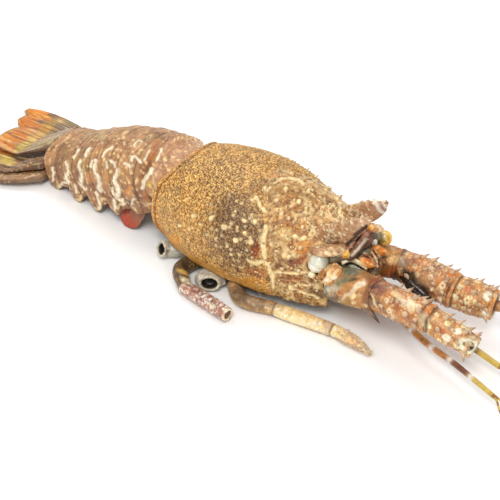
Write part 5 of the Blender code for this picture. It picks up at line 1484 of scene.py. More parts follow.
def feeler(material):
    """Make the left feeler in two ringed lengths."""
    centres = curve_through(FEELER_L, 43)[0]
    last_step = unit(np.array(ANTENNA_L[3], float) - np.array(ANTENNA_L[2], float))
    along = lengths_along(FEELER_L)
    for part in range(2):
        first, last = part * 21, part * 21 + 21
        piece = centres[first:last + 1]
        share = np.linspace(0.0, 1.0, 43)[first:last + 1]
        width = np.interp(share * along[-1], along, FEELER_D)
        before = (centres[0] + last_step * GAP, last_step)
        after = None
        if part:
            before = mitre(centres[first - 1], centres[first], centres[first + 1], GAP / 2)
        else:
            after = mitre(centres[last - 1], centres[last], centres[last + 1], -GAP / 2)
        grid, s, _, _, length = tube(piece, np.stack((width, width), axis=1), *FEELER_GRID,
                                     before, after)
        rings = (s * length / 1.25) % 1.0
        far = s * 0.5 + part * 0.5
        bands = ramp(np.sin(far * 62.0 + layered(grid, 20.0, 5)), -0.25, 0.45)
        colour = blend(
            srgb(150, 84, 52), (srgb(214, 170, 110), 0.75 * bands),
            (DARK_BROWN, 0.5 * hill(rings, 0.0, 0.12)),
            (SPOT, 0.3 * ramp(noise(grid, 1.4, 3), 0.2, 0.7)))
        normals = grid_normals(grid)
        relief = 0.10 * (np.sin(rings * math.pi) - 0.6) * (1.0 - 0.6 * far)
        grid = grid + normals * relief[..., None] * ramp(s, 0.0, 0.01)[..., None]
        pile = Pile()
        pile.add_grid(grid, colour, 0.1)
        hairs = random.Random(40 + part)
        for _ in range(FEELER_HAIRS):
            row = hairs.randrange(8, FEELER_GRID[0] - 8)
            column = hairs.randrange(FEELER_GRID[1])
            root = grid[row, column]
            out = normals[row, column]
            ahead = unit(grid[row + 1, column] - root)
            size = 0.9 * (1.0 - 0.6 * far[row, 0])
            tip = root + unit(out + ahead * 1.6) * size
            if tip[0] < FEELER_LIMIT[0] and tip[1] < FEELER_LIMIT[1]:
                pile.add_grid(cone_grid(root - out * 0.1, tip, 0.16, 4), DARK_BROWN, 0.0)
        pile.build(f"feeler_skin_L_{part + 1}", material, (f"feeler_L_{part + 1}",))


def antennules(material):
    """Make the banded antennules and their short whips."""
    face = (np.array((84.0 + GAP, 0.0, 0.0)), X_AXIS)
    for tag, route, spread in (("R", ANTENNULE_R, 1.0), ("L", ANTENNULE_L, -1.0)):
        sizes = [(w, w) for w in ANTENNULE_D[:len(route)]]
        grid, share, turn = tube(route, sizes, 260, 32, start=face)[:3]
        joints = (0.38, 0.55, 0.68, 0.84) if tag == "R" else (0.3, 0.52, 0.76)
        pinch = sum(hill(share, j, 0.012) for j in joints)
        pale = sum(hill(share, j, 0.017) for j in joints)
        soft = layered(grid, 3.0, 171)
        stripe = hill(np.sin(turn), -0.2, 0.3)
        colour = blend(
            srgb(190, 124, 56), (DARK_BROWN, 0.6 * ramp(soft, -0.1, 0.4)),
            (srgb(104, 58, 46), 0.85 * ramp(share, 0.68, 0.70) * (share < 0.84)),
            (OLIVE_YELLOW, 0.9 * ramp(share, 0.80, 0.86)), (WHITE, 0.9 * pale),
            (GOLD, 0.3 * stripe * (1.0 - pale) * ramp(soft, -0.5, 0.1)))
        relief = -0.35 * pinch + 0.08 * soft + 0.16 * hill(pinch, 0.5, 0.2)
        single(f"antennule_skin_{tag}", lift(grid, grid_normals(grid), relief), colour, 0.1,
               material, (f"antennule_{tag}",))
        centres = curve_through(route, 15)[0]
        end = centres[-1]
        ahead = unit(centres[-1] - centres[-2])
        aside = np.array((-ahead[1], ahead[0], 0.0)) * spread
        for k, (bend, reach) in enumerate(((0.35, 18.0), (-0.55, 13.0))):
            root = end + ahead * GAP + aside * (0.85 if k == 0 else -0.85)
            heading = unit(ahead + aside * bend + np.array((0, 0, -0.12)))
            path = [root, root + ahead * 3.0, root + ahead * 3.0 + heading * reach * 0.5,
                    root + ahead * 3.0 + heading * reach]
            sizes = ((1.4, 1.4), (1.4, 1.4), (1.2, 1.2), (0.8, 0.8))
            grid, s, _, _, length = tube(path, sizes, 150, 16)
            rings = (s * length / 0.8) % 1.0
            bands = ramp(np.sin(s * 17.0 + k), -0.2, 0.2)
            colour = blend(
                OLIVE_YELLOW, (srgb(150, 92, 50), bands * 0.8),
                (DARK_BROWN, 0.4 * hill(rings, 0.0, 0.15)))
            grid = lift(grid, grid_normals(grid), 0.05 * np.sin(rings * math.pi))
            single(f"antennule_whip_skin_{tag}_{k + 1}", grid, colour, 0.0, material,
                   (f"antennule_{tag}_whip_{k + 1}",))


# Legs

def leg_sternum_plane(side, offset):
    """Give the side face of the sternum, moved outward by an offset."""
    rear = np.array((STERNUM_REAR[0], side * STERNUM_REAR[1], 0.0))
    front = np.array((STERNUM_FRONT[0], side * STERNUM_FRONT[1], 0.0))
    run = unit(front - rear)
    normal = np.array((-run[1], run[0], 0.0)) * side
    if normal[1] * side < 0:
        normal = -normal
    return rear + normal * offset, normal


def sternum_half_width(x):
    """Give the half-width of the sternum at x."""
    return float(np.interp(x, (STERNUM_REAR[0], STERNUM_FRONT[0]),
                           (STERNUM_REAR[1], STERNUM_FRONT[1])))


# Leg colours: base, dark, light, strength of the light marks
LEG_PATTERNS = {
    "upper_dark": (srgb(84, 66, 44), srgb(140, 112, 66), GOLD, 0.5),
    "mottled": (srgb(172, 116, 92), srgb(124, 76, 60), WHITE, 0.85),
    "golden": (srgb(242, 212, 150), srgb(196, 144, 78), WHITE, 0.8),
    "grey_golden": (srgb(176, 132, 84), srgb(214, 162, 90), SPOT, 0.6),
    "stump": (srgb(190, 182, 164), srgb(128, 112, 88), WHITE, 0.6),
    "claw": (srgb(244, 214, 146), srgb(192, 134, 60), WHITE, 0.7)}


def leg_piece(node, path, sizes, material, pattern, seed, before=None, after=None, root_side=0,
              hollow=None, low=0.6, bristles=0, steps=84, sides=72):
    """Make one leg segment with mottling, ridges, fine hairs and an open end where cut."""
    start = None
    if root_side:
        start = leg_sternum_plane(root_side, GAP)
    elif before is not None:
        start = mitre(before, path[0], path[1], GAP / 2)
    end = mitre(path[-2], path[-1], after, -GAP / 2) if after is not None else None
    grid, share, turn, tangents, _ = tube(path, sizes, steps, sides, start, end)
    base, dark, light, amount = LEG_PATTERNS[pattern]
    normals = grid_normals(grid)
    place, seen = mark_frame(grid, normals, 0.7, seed)
    soft = layered(grid, 6.0, 200 + seed)
    fine = layered(grid, 2.2, 210 + seed)
    dots = cell_dots(grid, 3.0, 220 + seed, 0.2, 0.42, 0.4)
    pits = cell_dots(grid, 1.5, 230 + seed, 0.14, 0.34, 0.6)
    colour = blend(
        base, (dark, 0.85 * ramp(soft, 0.0, 0.5)), (light, amount * dots),
        (light, amount * hill(fine, 0.1, 0.08)), (DARK_BROWN, 0.45 * pits))
    colour = add_marks(colour, LEG_MARKS, place, seen, 0.45, 0.85 + 0.3 * fine)
    ends = np.maximum(1.0 - ramp(share, 0.0, 0.05), ramp(share, 0.95, 1.0))
    colour = mix(colour, srgb(122, 82, 50) if hollow is None else CREAM, 0.5 * ends)
    colour = colour * (1.0 + 0.12 * noise(grid, 1.0, 8))[..., None]
    relief = 0.16 * soft + 0.14 * dots - 0.15 * pits + 0.25 * hill(np.sin(turn), 1.0, 0.12)
    relief = relief * ramp(share, 0.0, 0.04) * ramp(1.0 - share, 0.0, 0.04)
    grid = lift(grid, normals, relief)
    if hollow is not None:
        # The rim shades darken inward: painted shade inside the cut end.
        wall, depths, shades = hollow
        ragged = 0.45 * noise(grid[-1][None], 1.4, 9)[0] + 0.35 * noise(grid[-1][None], 3.4, 11)[0]
        grid[-1] += tangents[-1] * (ragged - 0.4)[:, None]
        grid = hollow_end(grid, tangents, wall, depths)
        rim = np.array(shades)[:, None, :] * (1.0 + 0.8 * ragged)[None, :, None]
        colour = np.concatenate((colour, np.clip(rim, 0.0, 1.0)))
    grid[..., 2] = np.maximum(grid[..., 2], low)
    pile = Pile()
    pile.add_grid(grid, colour, 0.35)
    if bristles:
        rng = random.Random(seed)
        for _ in range(bristles):
            row = int(rng.uniform(0.25, 0.97) * (steps - 2))
            column = rng.randrange(sides)
            root, out = grid[row, column], normals[row, column]
            ahead = unit(grid[row + 1, column] - root)
            reach = 1.5 if bristles > 300 else 1.0
            tip = root + unit(out * 0.7 + ahead) * rng.uniform(1.0, 2.2) * reach
            if tip[2] > low + 0.1:
                pile.add_grid(cone_grid(root - out * 0.15, tip, 0.15 * reach, 4),
                              spine_colours(dark, mix(dark, light, 0.45), light), 0.0)
    pile.build(node.replace("_stump", "") + "_skin", material, (node,))


# Leg patches: centre, radii, shade, strength and turn. The dark ones at (182, 263) and (240, 294)
# are painted shadow where the legs come out from under the carapace's edge.
LEG_MARKS = (
    ((182, 263), (9, 6), srgb(56, 44, 32), 0.92, 20),
    ((184, 273), (7, 2.6), srgb(214, 172, 90), 0.85, 25),
    ((186, 277), (7, 1.5), srgb(64, 46, 30), 0.85, 25), ((187, 281.6), (7, 2.8), CREAM, 0.8, 28),
    ((189, 285.6), (6, 1.2), srgb(84, 60, 36), 0.8, 28),
    ((196, 290), (7, 4), srgb(126, 70, 52), 0.7, 35), ((228, 313), (5, 3), CREAM, 0.85, 40),
    ((212, 305), (4, 2), CREAM, 0.6, 35), ((221, 300), (5, 1.6), CREAM, 0.55, 30),
    ((240, 294), (10, 9), srgb(66, 50, 36), 0.85, 25),
    ((254, 302), (13, 8), srgb(112, 86, 66), 0.7, 15),
    ((272, 303), (14, 3), srgb(132, 96, 66), 0.5, 15), ((300, 314), (20, 3), GOLD, 0.5, 15),
    ((328, 326), (6, 5), srgb(150, 84, 40), 0.55, 25), ((352, 341), (9, 5), ORANGE_GOLD, 0.5, 30))


def leg_root(index, side):
    """Give the place where a leg leaves the sternum."""
    x = LEG_ROOT_X[index]
    return x, side * sternum_half_width(x), LEG_ROOT_Z


# Rim shades going into the open ends of cut legs darken inward: painted shade inside the hollows.
HOLE = (srgb(196, 190, 172), srgb(60, 50, 40), BLACK_BROWN, BLACK_BROWN)
SHALLOW_HOLE = (CREAM, srgb(180, 130, 96), srgb(120, 80, 60), srgb(120, 80, 60))
HIP_2, BEND_2, KNEE_2 = (4.5, -38.0, 5.8), (13.5, -46.2, 5.4), (38.5, -42.0, 5.2)
WRIST_2, TIP_2 = (77.8, -36.2, 4.8), (107.0, -38.6, 2.8)
BEND_4, KNEE_4, CUT_4 = (-34.5, -45.5, 5.6), (-20.0, -60.2, 5.4), (19.2, -65.2, 5.8)
# Near legs: node, path, heights and widths, pattern, options of leg_piece
NEAR_LEGS = (
    ("leg_R1_stump", (leg_root(0, -1), (20.5, -27, 5.9), (21.5, -33, 6.2)),
     ((10, 10), (10.4, 10), (9.4, 9.4)), "stump",
     {"root_side": -1, "hollow": (1.3, (0.8, 2.4, 4.0), HOLE), "seed": 1, "steps": 40}),
    ("leg_R2_upper", (leg_root(1, -1), HIP_2, BEND_2, KNEE_2),
     ((10.6, 11), (10.4, 11), (9.4, 10), (8.4, 9)), "grey_golden",
     {"after": WRIST_2, "root_side": -1, "seed": 2}),
    ("leg_R2_lower", (KNEE_2, (46, -41.0, 5.2), (60, -38.8, 5.2), WRIST_2),
     ((8.2, 8.8), (9, 9.6), (8.8, 9.2), (7.8, 8.4)), "golden",
     {"before": BEND_2, "after": TIP_2, "seed": 3, "bristles": 90}),
    ("leg_R2_claw", (WRIST_2, (84, -36.2, 4.9), (96, -37.0, 4.2), TIP_2),
     ((7.4, 8), (8, 8), (6.4, 6.4), (1.4, 1.4)), "claw",
     {"before": KNEE_2, "seed": 4, "bristles": 420}),
    ("leg_R3_stump", (leg_root(2, -1), (-12.9, -37, 5.8), (-11.2, -45.5, 6.6), (-8.0, -50.0, 7.4)),
     ((10.4, 12), (10.4, 18), (11, 21), (10.6, 13)), "stump",
     {"root_side": -1, "hollow": (1.1, (1.0, 3.0, 5.0), HOLE), "seed": 5, "steps": 60}),
    ("leg_R4_upper", (leg_root(3, -1), (-33.5, -38, 5.8), BEND_4, KNEE_4),
     ((10.6, 10.6), (10.6, 11), (10, 11), (8.6, 8.8)), "upper_dark",
     {"after": CUT_4, "root_side": -1, "seed": 6}),
    ("leg_R4_lower", (KNEE_4, (-13, -61.0, 5.6), (5, -63.4, 5.8), CUT_4),
     ((8.6, 8.8), (10, 10), (9.8, 9.8), (9, 9)), "mottled",
     {"before": BEND_4, "hollow": (1.2, (0.5, 1.2, 1.6), SHALLOW_HOLE), "seed": 7,
      "bristles": 60}),
    ("leg_R5_stump", (leg_root(4, -1), (-49.5, -33, 5.9), (-55.0, -36.8, 6.3), (-56.8, -41.4, 8.4)),
     ((9.6, 9), (10, 10), (10.8, 10.8), (10.8, 10.8)), "stump",
     {"root_side": -1, "hollow": (1.3, (1.0, 3.0, 6.0), HOLE), "seed": 8, "steps": 60}))
# Far legs: hip and toe by x and y, and the knee between them by x, y and z
FAR_LEGS = (
    ((26, 49), (50, 59, 8.5), (10, 84)), ((8, 50.5), (26, 62, 11), (-18, 88)),
    ((-11, 51.5), (-1, 63, 12), (-46, 92)), ((-33, 50), (-27, 64, 13), (-74, 98)),
    ((-55, 46), (-54, 62, 12), (-98, 92)))


def legs(material):
    """Make the near legs as the photo shows them and the whole far legs."""
    for node, path, sizes, pattern, options in NEAR_LEGS:
        leg_piece(node, path, sizes, material, pattern, **options)
    for index, (hip_xy, knee, toe_xy) in enumerate(FAR_LEGS):
        tag = f"leg_L{index + 1}"
        root = leg_root(index, 1)
        hip, toe = (*hip_xy, 6.0), (*toe_xy, 1.0)
        ankle = tuple(a + (b - a) * 0.24 for a, b in zip(knee, toe))
        ankle = (ankle[0], ankle[1], ankle[2] + 2.0)
        foot = tuple(a + (b - a) * 0.62 for a, b in zip(ankle, toe))
        under = tuple(a + (b - a) * 0.6 for a, b in zip(root, hip))
        leg_piece(f"{tag}_upper", (root, under, hip, knee),
                  ((10.4, 11), (10, 10.4), (9.6, 10), (8.0, 8.2)), material, "mottled",
                  after=ankle, root_side=1, seed=10 + index, steps=70, sides=56)
        leg_piece(f"{tag}_lower", (knee, ankle, foot, toe),
                  ((7.8, 8.0), (7.4, 7.6), (6, 6), (2.0, 2.0)), material, "golden", before=hip,
                  low=0.0, seed=20 + index, bristles=120, steps=70, sides=56)


def mouth_limbs(material):
    """Make the third maxillipeds with their inner fringe of bristles."""
    face = (np.array((STERNUM_FRONT[0] + GAP, 0.0, 0.0)), X_AXIS)
    for side, tag in SIDES:
        path = ((45, side * 6.0, 8.0), (58, side * 7.0, 7.0), (72, side * 7.0, 7.6),
                (84, side * 5.8, 10.0), (92, side * 4.6, 12.0))
        sizes = ((9, 8.6), (8.6, 8), (8, 7.4), (6.4, 6), (1.6, 1.6))
        grid, share = tube(path, sizes, 80, 40, start=face)[:2]
        normals = grid_normals(grid)
        soft = layered(grid, 4.0, 181)
        seams = hill(share, 0.34, 0.015) + hill(share, 0.66, 0.015)
        colour = blend(
            srgb(196, 146, 92), (srgb(146, 92, 60), ramp(soft, -0.1, 0.5)), (DARK_BROWN, 0.6 * seams))
        grid = lift(grid, normals, 0.15 * soft - 0.4 * seams)
        grid[..., 2] = np.maximum(grid[..., 2], FLAP_LOWEST)
        pile = Pile()
        pile.add_grid(grid, colour, 0.2)
        rng = random.Random(61 + side)
        for _ in range(MOUTH_BRISTLES):
            row, column = rng.randrange(12, 70), rng.randrange(40)
            root, out = grid[row, column], normals[row, column]
            if out[1] * side < 0.1 and out[2] > -0.6:
                tip = root + unit(out + np.array((0.7, 0, 0))) * rng.uniform(1.0, 2.2)
                if abs(tip[1]) > 1.2:
                    pile.add_grid(cone_grid(root - out * 0.1, tip, 0.13, 4),
                                  spine_colours(OLIVE, OLIVE, GOLD), 0.0)
        pile.build(f"maxilliped_skin_{tag}", material, (f"maxilliped_{tag}",))


def sternum(material):
    """Make the ridged underside plate."""
    stations = np.linspace(0.0, 1.0, 120)
    rings = []
    for share in stations:
        x = STERNUM_REAR[0] + (STERNUM_FRONT[0] - STERNUM_REAR[0]) * share
        half = sternum_half_width(x)
        ridge = 0.5 * math.sin(share * math.pi * 10.0) ** 2 * (0.04 < share < 0.96)
        side = half - 0.45 * ridge
        half_line = np.array(((0.0, 0.0), (half - 1.2, 0.0), (side, 1.2), (side, 10.0), (side, 18.8),
                              (half - 1.2, 20.0), (0.0, 20.0)))
        rings.append(whole_ring(x, resample(half_line, 40)))
    grid = np.array(rings)
    soft = layered(grid, 8.0, 190)
    dots = cell_dots(grid, 3.6, 191, 0.2, 0.4, 0.5)
    seams = hill(np.sin(stations * math.pi * 5.0), 0.0, 0.1)[:, None] * np.ones(grid.shape[1])
    colour = blend(
        srgb(206, 170, 118), (srgb(166, 108, 66), ramp(soft, -0.1, 0.5)), (CREAM, 0.6 * dots),
        (DARK_BROWN, 0.5 * seams))
    single("sternum_skin", grid, colour, 0.3, material, ("sternum",))


# Head

def blob_grid(centre, radii, steps, sides, seed, rough, axes=np.eye(3)):
    """Give a rounded boss with an uneven surface; axes are its three directions."""
    polar = np.linspace(0.02, math.pi - 0.02, steps)[:, None]
    turn = (2.0 * math.pi * np.arange(sides) / sides)[None, :]
    ball = np.stack((np.cos(polar) * np.ones_like(turn), np.sin(polar) * np.cos(turn),
                     np.sin(polar) * np.sin(turn)), axis=-1)
    bulge = 1.0 + rough * layered(ball, 0.7, seed)
    local = ball * bulge[..., None] * np.array(radii)
    return np.array(centre) + local @ np.array(axes), ball


def head_axes(x, up):
    """Give three directions from a forward and an upward one."""
    x = unit(x)
    y = unit(np.cross(up, x))
    return np.array((x, y, np.cross(x, y)))


def head_block(material):
    """Make the head block with its keel and antennular plate."""
    rows = ((50.35, 20.5, 20.5, 23.2, 36.5, 39.5), (60.0, 20.5, 18.5, 23.2, 36.5, 40.0),
            (66.8, 19.5, 16.0, 23.2, 37.5, 40.6), (67.15, 4.6, 12.0, 17.0, 38.6, 41.2),
            (76.0, 4.6, 11.0, 16.0, 38.8, 41.6), (84.0, 4.2, 7.0, 17.5, 38.6, 41.0))
    rows = np.array(rows)
    x = np.unique(np.concatenate((np.linspace(50.35, 66.8, 40), np.linspace(67.15, 84.0, 44))))
    rings = []
    for place in x:
        low_half, top_half, low_z, neck_z, top_z = [
            float(np.interp(place, rows[:, 0], rows[:, k])) for k in range(1, 6)]
        half = np.array(((0.0, low_z), (low_half * 0.7, low_z), (low_half, low_z + 2.5),
                         (low_half, neck_z - 1.5), (top_half, neck_z), (top_half, top_z - 1.4),
                         (top_half * 0.55, top_z), (0.0, top_z)))
        rings.append(whole_ring(place, resample(half, 52)))
    grid = np.array(rings)
    soft = layered(grid, 4.0, 240)
    fine = layered(grid, 1.8, 244)
    colour = blend(
        srgb(120, 84, 58), (GREY_GREEN, ramp(soft, 0.0, 0.5)),
        (DARK_BROWN, 0.8 * ramp(-soft, 0.0, 0.5)), (CREAM, 0.5 * hill(fine, 0.2, 0.07)))
    single("head_skin", grid, colour, 0.2, material, ("head",))


# Eye marks: patches of centre, radii, shade, strength and turn, the left eye's each with a gain.
# The left eye's pale spot at (382.6, 235) is a painted highlight.
EYE_MARKS_R = (((328.6, 260), (6, 9), srgb(138, 132, 108), 0.75, 0),
               ((319, 270), (7, 3), srgb(214, 190, 150), 0.5, 0))
EYE_MARKS_AND_HIGHLIGHT_L = ((((382.6, 235), (2.6, 3.4), SPOT, 0.85, 0), 0.5),
               (((388.4, 238), (1.7, 2.6), srgb(136, 90, 36), 0.6, 0), 0.8),
               (((384, 241.6), (2.4, 1.2), srgb(110, 84, 40), 0.7, 0), 0.5))


def eyes(stalk_material, eye_material):
    """Make the eyestalks and eyes: the right eye pale grey-white, the left yellow with a painted
    highlight.
    """
    middle = (np.array(OCULAR_R) + np.array(OCULAR_L)) / 2
    for side, tag, joint, eye, radius in ((-1, "R", OCULAR_R, EYE_R, EYE_RADIUS[0]),
                                          (1, "L", OCULAR_L, EYE_L, EYE_RADIUS[1])):
        centre = np.array(eye, float)
        plane = (middle + np.array((0, side * GAP / 2, 0)), Y_AXIS)
        knee = np.array(joint, float)
        toward = unit(centre - knee)
        stop = centre - toward * (radius + GAP)
        path = [middle, middle * 0.4 + knee * 0.6, knee, knee * 0.4 + stop * 0.6, stop]
        sizes = ((6.0, 6.4), (6.6, 7.0), (7.4, 7.4), (5.6, 5.8), (5.4, 5.4))
        grid, share = tube(path, sizes, 80, 48, start=plane)[:2]
        soft = layered(grid, 3.0, 250)
        colour = blend(
            ANTENNA_MAUVE * 0.85, (DARK_BROWN, ramp(soft, 0.0, 0.6)),
            (SPOT, 0.7 * cell_dots(grid, 2.6, 251, 0.16, 0.32, 0.4)),
            (srgb(96, 82, 62), 0.85 * ramp(share, 0.5, 0.62)),
            (srgb(150, 146, 120), 0.5 * ramp(share, 0.8, 0.95)))
        colour = face_lines(colour, grid, 0.5 * soft)
        grid = lift(grid, grid_normals(grid), 0.2 * soft - 0.3 * hill(share, 0.6, 0.03))
        single(f"eyestalk_skin_{tag}", grid, colour, 0.15, stalk_material, (f"eyestalk_{tag}",))
        axes = head_axes(toward, Z_AXIS - toward * toward[2])
        grid, ball = blob_grid(centre, (radius,) * 3, 72, 84, 252, 0.012, axes)
        back = ball[..., 0]
        mist = layered(grid, 3.0, 253)
        place = picture_place(grid)
        if side < 0:
            colour = blend(
                srgb(222, 220, 200), (srgb(186, 190, 172), ramp(mist, -0.2, 0.6)),
                (srgb(104, 110, 92), 0.8 * (1.0 - ramp(back, -0.75, -0.1))))
            colour = add_marks(colour, EYE_MARKS_R, place, 1.0, 0.8)
        else:
            colour = mix(srgb(232, 190, 84), srgb(206, 140, 40), ramp(mist, -0.1, 0.4))
            place = place + 2.0 * layered(grid, 1.8, 254)[..., None]
            for mark in EYE_MARKS_AND_HIGHLIGHT_L:
                colour = add_marks(colour, mark[:1], place, 1.0, mark[1])
            colour = mix(colour, srgb(90, 80, 52), 0.8 * (1.0 - ramp(back, -0.9, -0.3)))
        single(f"eye_skin_{tag}", grid, colour, 0.0, eye_material, (f"eye_{tag}",))


# Bars and folds: path, heights and widths, base, dark and light shade
HEAD_TUBES = (
    (((71.6, -13.6, 46.5), (71.4, 0.2, 48.4), (72.0, 9.4, 51.6)), ((3.0, 3.8), (3.4, 4.2), (3.0,
     3.8)), srgb(158, 106, 86), srgb(112, 68, 54), srgb(178, 128, 104)),
    (((73.4, -12.8, 43.9), (73.4, -4.0, 45.0), (73.6, 7.6, 47.6)), ((1.6, 2.0), (1.8, 2.2), (1.6,
     2.0)), srgb(206, 192, 158), srgb(96, 66, 44), WHITE),
    (((53.6, -28.6, 50.6), (60.6, -29.2, 52.6), (65.4, -21.8, 51.6), (67.6, -14.4, 50.4), (69.8, -6.8,
     53.0)), ((3.4, 4.0), (5.0, 5.6), (6.6, 8.0), (6.4, 8.4), (3.6, 4.6)), srgb(190, 142, 100),
     srgb(150, 102, 70), srgb(232, 204, 156)),
    (((70.9, -19.6, 43.5), (73.1, -13.6, 43.7), (77.9, -11.8, 42.2), (83.1, -10.4, 38.8)), ((2.6,
     2.4), (3.2, 3.0), (3.0, 2.6), (1.6, 1.4)), srgb(226, 206, 160), srgb(176, 150, 108), WHITE),
    (((77.3, 2.7, 42.4), (83.4, -0.9, 41.4), (85.6, -1.1, 36)), ((1.8, 1.6), (2.2, 1.8), (1.4, 1.2)),
     srgb(222, 180, 126), srgb(130, 76, 44), CREAM),
    (((78.7, 5.1, 42.4), (84.0, 2.7, 40.8), (85.6, 3.0, 35)), ((1.8, 1.6), (2.2, 1.8), (1.4, 1.2)),
     srgb(214, 166, 110), srgb(120, 68, 40), CREAM),
    (((75.7, -2.0, 42.6), (81.7, -3.5, 42.2), (85.2, -3.5, 38)), ((1.6, 1.4), (1.9, 1.6), (1.2, 1.2)),
     srgb(206, 150, 104), srgb(116, 62, 42), CREAM))
# Knobs: centre, radii, base, dark and light shade, unevenness
HEAD_BLOBS = (
    ((71.0, -16.5, 48.6), (2.7, 2.7, 2.7), srgb(236, 184, 70), srgb(206, 130, 34), SPOT, 0.4),
    ((71.8, 10.8, 52.6), (2.5, 2.7, 2.6), srgb(232, 160, 50), srgb(190, 110, 34), SPOT, 0.4),
    ((75.2, 10.0, 43.8), (2.6, 2.6, 2.6), srgb(160, 160, 146), srgb(112, 106, 92), WHITE, 0.1))
PAIRED_BLOBS = (
    ("boss", (80.9, -7.8, 41.2), (5.4, 2.9, 3.1), srgb(214, 122, 30), srgb(170, 86, 22), srgb(242,
     190, 120), 0.12),
    ("pleat", (76.6, -13.6, 35.6), (6.6, 3.0, 4.4), srgb(150, 156, 134), srgb(96, 96, 78), MEMBRANE,
     0.18),
    ("coxa", (68.8, -25.4, 36.8), (5.6, 7.2, 6.6), srgb(244, 208, 150), srgb(206, 130, 58), WHITE, 0.5),
    ("fold", (66.4, -22.0, 27.0), (2.8, 8.4, 10.0), srgb(168, 172, 152), srgb(110, 112, 94), WHITE,
     0.12),
    ("socket", (55.6, -25.4, 44.5), (5.4, 6.6, 8.6), srgb(190, 150, 104), srgb(120, 78, 48), CREAM,
     0.15))


# Lone parts: centre, radii, rings, sides, seed, unevenness, pitch of the dots, shades
LONE_BLOBS = {
    "face_inner": (((61.0, 0.0, 44.6), (7.6, 22.5, 6.6), 60, 90, 390, 0.06, 3.4,
                    (srgb(112, 76, 56), srgb(66, 42, 30), srgb(156, 116, 86))),),
    "eye_fold_R": (((58.8, -28.6, 42.6), (5.6, 5.6, 5.4), 60, 64, 392, 0.03, 9.0,
                    (srgb(230, 226, 208), srgb(200, 200, 182), WHITE)),),
    "face_lash": tuple(((63.6, side * 28.4, 38.2), (3.0, 3.4, 4.6), 40, 44, 396, 0.3, 1.6,
                        (srgb(222, 160, 84), srgb(150, 88, 40), SPOT)) for side in (-1, 1))}


def painted_blob(pile, grid, shades, seed, pitch):
    """Add a small head part to a pile in its base, dark and light shades."""
    base, dark, light = shades
    soft = layered(grid, 2.6, seed)
    fine = layered(grid, 1.1, seed + 4)
    dots = cell_dots(grid, pitch, seed + 6, 0.2, 0.36, 0.55)
    colour = blend(
        base, (dark, 0.85 * ramp(soft, -0.05, 0.35)), (light, 0.75 * ramp(-soft, 0.1, 0.4)),
        (light, 0.7 * dots), (dark, 0.35 * hill(fine, 0.25, 0.1)))
    colour = colour * (1.0 + 0.12 * noise(grid, 0.8, seed + 8))[..., None]
    colour = face_lines(colour, grid, fine)
    pile.add_grid(grid, colour, 0.2)


def head_details(material, gloss):
    """Make the bar between the eyes, its knobs, the bosses, ridges and folds of the face."""
    pile = Pile()
    for k, (path, sizes, *shades) in enumerate(HEAD_TUBES):
        pitch = 1.3 if k == 2 else 1.9
        grid = tube(path, sizes, 90, 48)[0]
        rough = 0.35 * layered(grid, 1.6, 270 + k) + 0.09 * sizes[0][1] * layered(grid, 3.2, 277)
        grid = lift(grid, grid_normals(grid), rough)
        painted_blob(pile, grid, shades, 280 + 9 * k, pitch)
    for k, (centre, radii, *shades, rough) in enumerate(HEAD_BLOBS):
        grid = blob_grid(centre, radii, 40, 48, 300 + k, rough)[0]
        painted_blob(pile, grid, shades, 310 + 9 * k, 1.4)
    pile.build("face_bar", material, ())
    for side in (-1, 1):
        for k, (name, centre, radii, *shades, rough) in enumerate(PAIRED_BLOBS):
            place = (centre[0], -side * centre[1], centre[2])
            grid = blob_grid(place, radii, 56, 60, 330 + k, rough)[0]
            pile = Pile()
            painted_blob(pile, grid, shades, 350 + 9 * k, 2.6)
            pile.build(f"face_{name}_{'L' if side > 0 else 'R'}", material, ())
    for name, rows in LONE_BLOBS.items():
        pile = Pile()
        for centre, radii, steps, sides, seed, rough, pitch, shades in rows:
            grid = blob_grid(centre, radii, steps, sides, seed, rough)[0]
            painted_blob(pile, grid, shades, seed + 1, pitch)
        pile.build(name, gloss if name == "eye_fold_R" else material, ())


# Stage, light and camera

def plain_material(name, colour, roughness):
    """Make the floor's plain material."""
    material = bpy.data.materials.new(name)
    material.use_nodes = True
    shader = material.node_tree.nodes["Principled BSDF"]
    shader.inputs["Base Color"].default_value = (*colour, 1.0)
    shader.inputs["Roughness"].default_value = roughness
    return material


def stage():
    """Add the pale floor."""
    mesh = bpy.data.meshes.new("floor")
    corners = [(x * FLOOR_REACH, y * FLOOR_REACH, 0.0)
               for x, y in ((-1, -1), (1, -1), (1, 1), (-1, 1))]
    mesh.from_pydata(corners, [], [(0, 1, 2, 3)])
    mesh.materials.append(plain_material("floor_white", FLOOR_WHITE, FLOOR_ROUGHNESS))
    floor = bpy.data.objects.new("floor", mesh)
    bpy.context.scene.collection.objects.link(floor)


def area_light(name, place, size, power, colour):
    """Add one soft light."""
    data = bpy.data.lights.new(name, "AREA")
    data.shape = "DISK"
    data.size = size
    data.energy = power
    data.color = colour
    lamp = bpy.data.objects.new(name, data)
    lamp.location = place
    direction = Vector(LIGHT_TARGET) - Vector(place)
    lamp.rotation_euler = direction.to_track_quat("-Z", "Y").to_euler()
    bpy.context.scene.collection.objects.link(lamp)


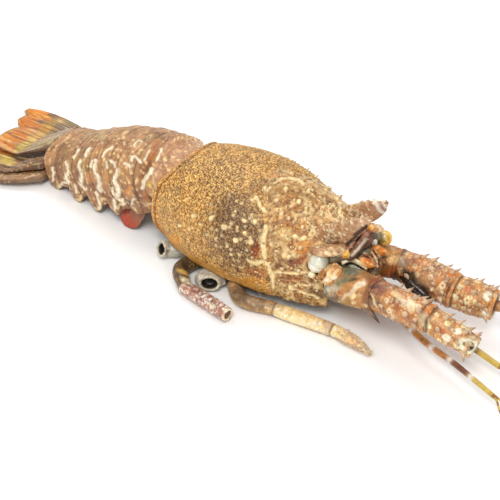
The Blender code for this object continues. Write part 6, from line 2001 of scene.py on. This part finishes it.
def lights():
    """Add the soft studio light."""
    world = bpy.data.worlds.new("studio")
    bpy.context.scene.world = world
    world.use_nodes = True
    background = world.node_tree.nodes["Background"]
    background.inputs["Color"].default_value = (1.0, 1.0, 1.0, 1.0)
    background.inputs["Strength"].default_value = WORLD_STRENGTH
    for lamp in LAMPS:
        area_light(*lamp)


def camera():
    """Set the photo's camera."""
    data = bpy.data.cameras.new("photo_camera")
    data.sensor_width = SENSOR
    data.lens = SENSOR * CAM_FOCAL / PICTURE
    data.clip_start, data.clip_end = CLIP_RANGE
    seat = bpy.data.objects.new("photo_camera", data)
    matrix = Matrix((Vector(CAM_RIGHT), Vector(CAM_UP), Vector(CAM_BACK))).transposed().to_4x4()
    matrix.translation = Vector(CAM_PLACE * MM)
    seat.matrix_world = matrix
    bpy.context.scene.collection.objects.link(seat)
    bpy.context.scene.camera = seat


# Materials: name, roughness range, bump, scale of the fine dots, coat, how pale the dots are,
# and how far the tone varies
MATERIALS = (
    ("carapace_shell_fine", (0.34, 0.62), 0.35, 650.0, 0.12, 0.22, 0.35),
    ("abdomen_shell_fine", (0.3, 0.55), 0.3, 500.0, 0.2, 0.12, 0.3),
    ("tail_fan_fine", (0.3, 0.5), 0.25, 420.0, 0.2, 0.08, 0.3),
    ("limb_shell_fine", (0.3, 0.55), 0.3, 560.0, 0.2, 0.15, 0.32),
    ("flap_skin_fine", (0.3, 0.5), 0.2, 380.0, 0.25, 0.05, 0.25),
    ("pad_fine", (0.12, 0.3), 0.15, 700.0, 0.6, 0.05, 0.3),
    ("eye_cornea_fine", (0.10, 0.2), 0.05, 1500.0, 0.7, 0.05, 0.12))


def main():
    """Build every piece."""
    bpy.context.scene.view_settings.view_transform = "Standard"
    shell, tail, fan, limb, skin, gloss, cornea = [shell_material(*row) for row in MATERIALS]
    carapace_skin(shell)
    carapace_spines(shell)
    horns(shell)
    for index in range(6):
        abdomen_ring(index, tail)
    tail_fan(fan)
    swimmerets(skin)
    antennae(limb, gloss)
    feeler(limb)
    antennules(limb)
    legs(limb)
    mouth_limbs(limb)
    sternum(limb)
    head_block(limb)
    eyes(limb, cornea)
    head_details(limb, cornea)
    stage()
    lights()
    camera()


main()
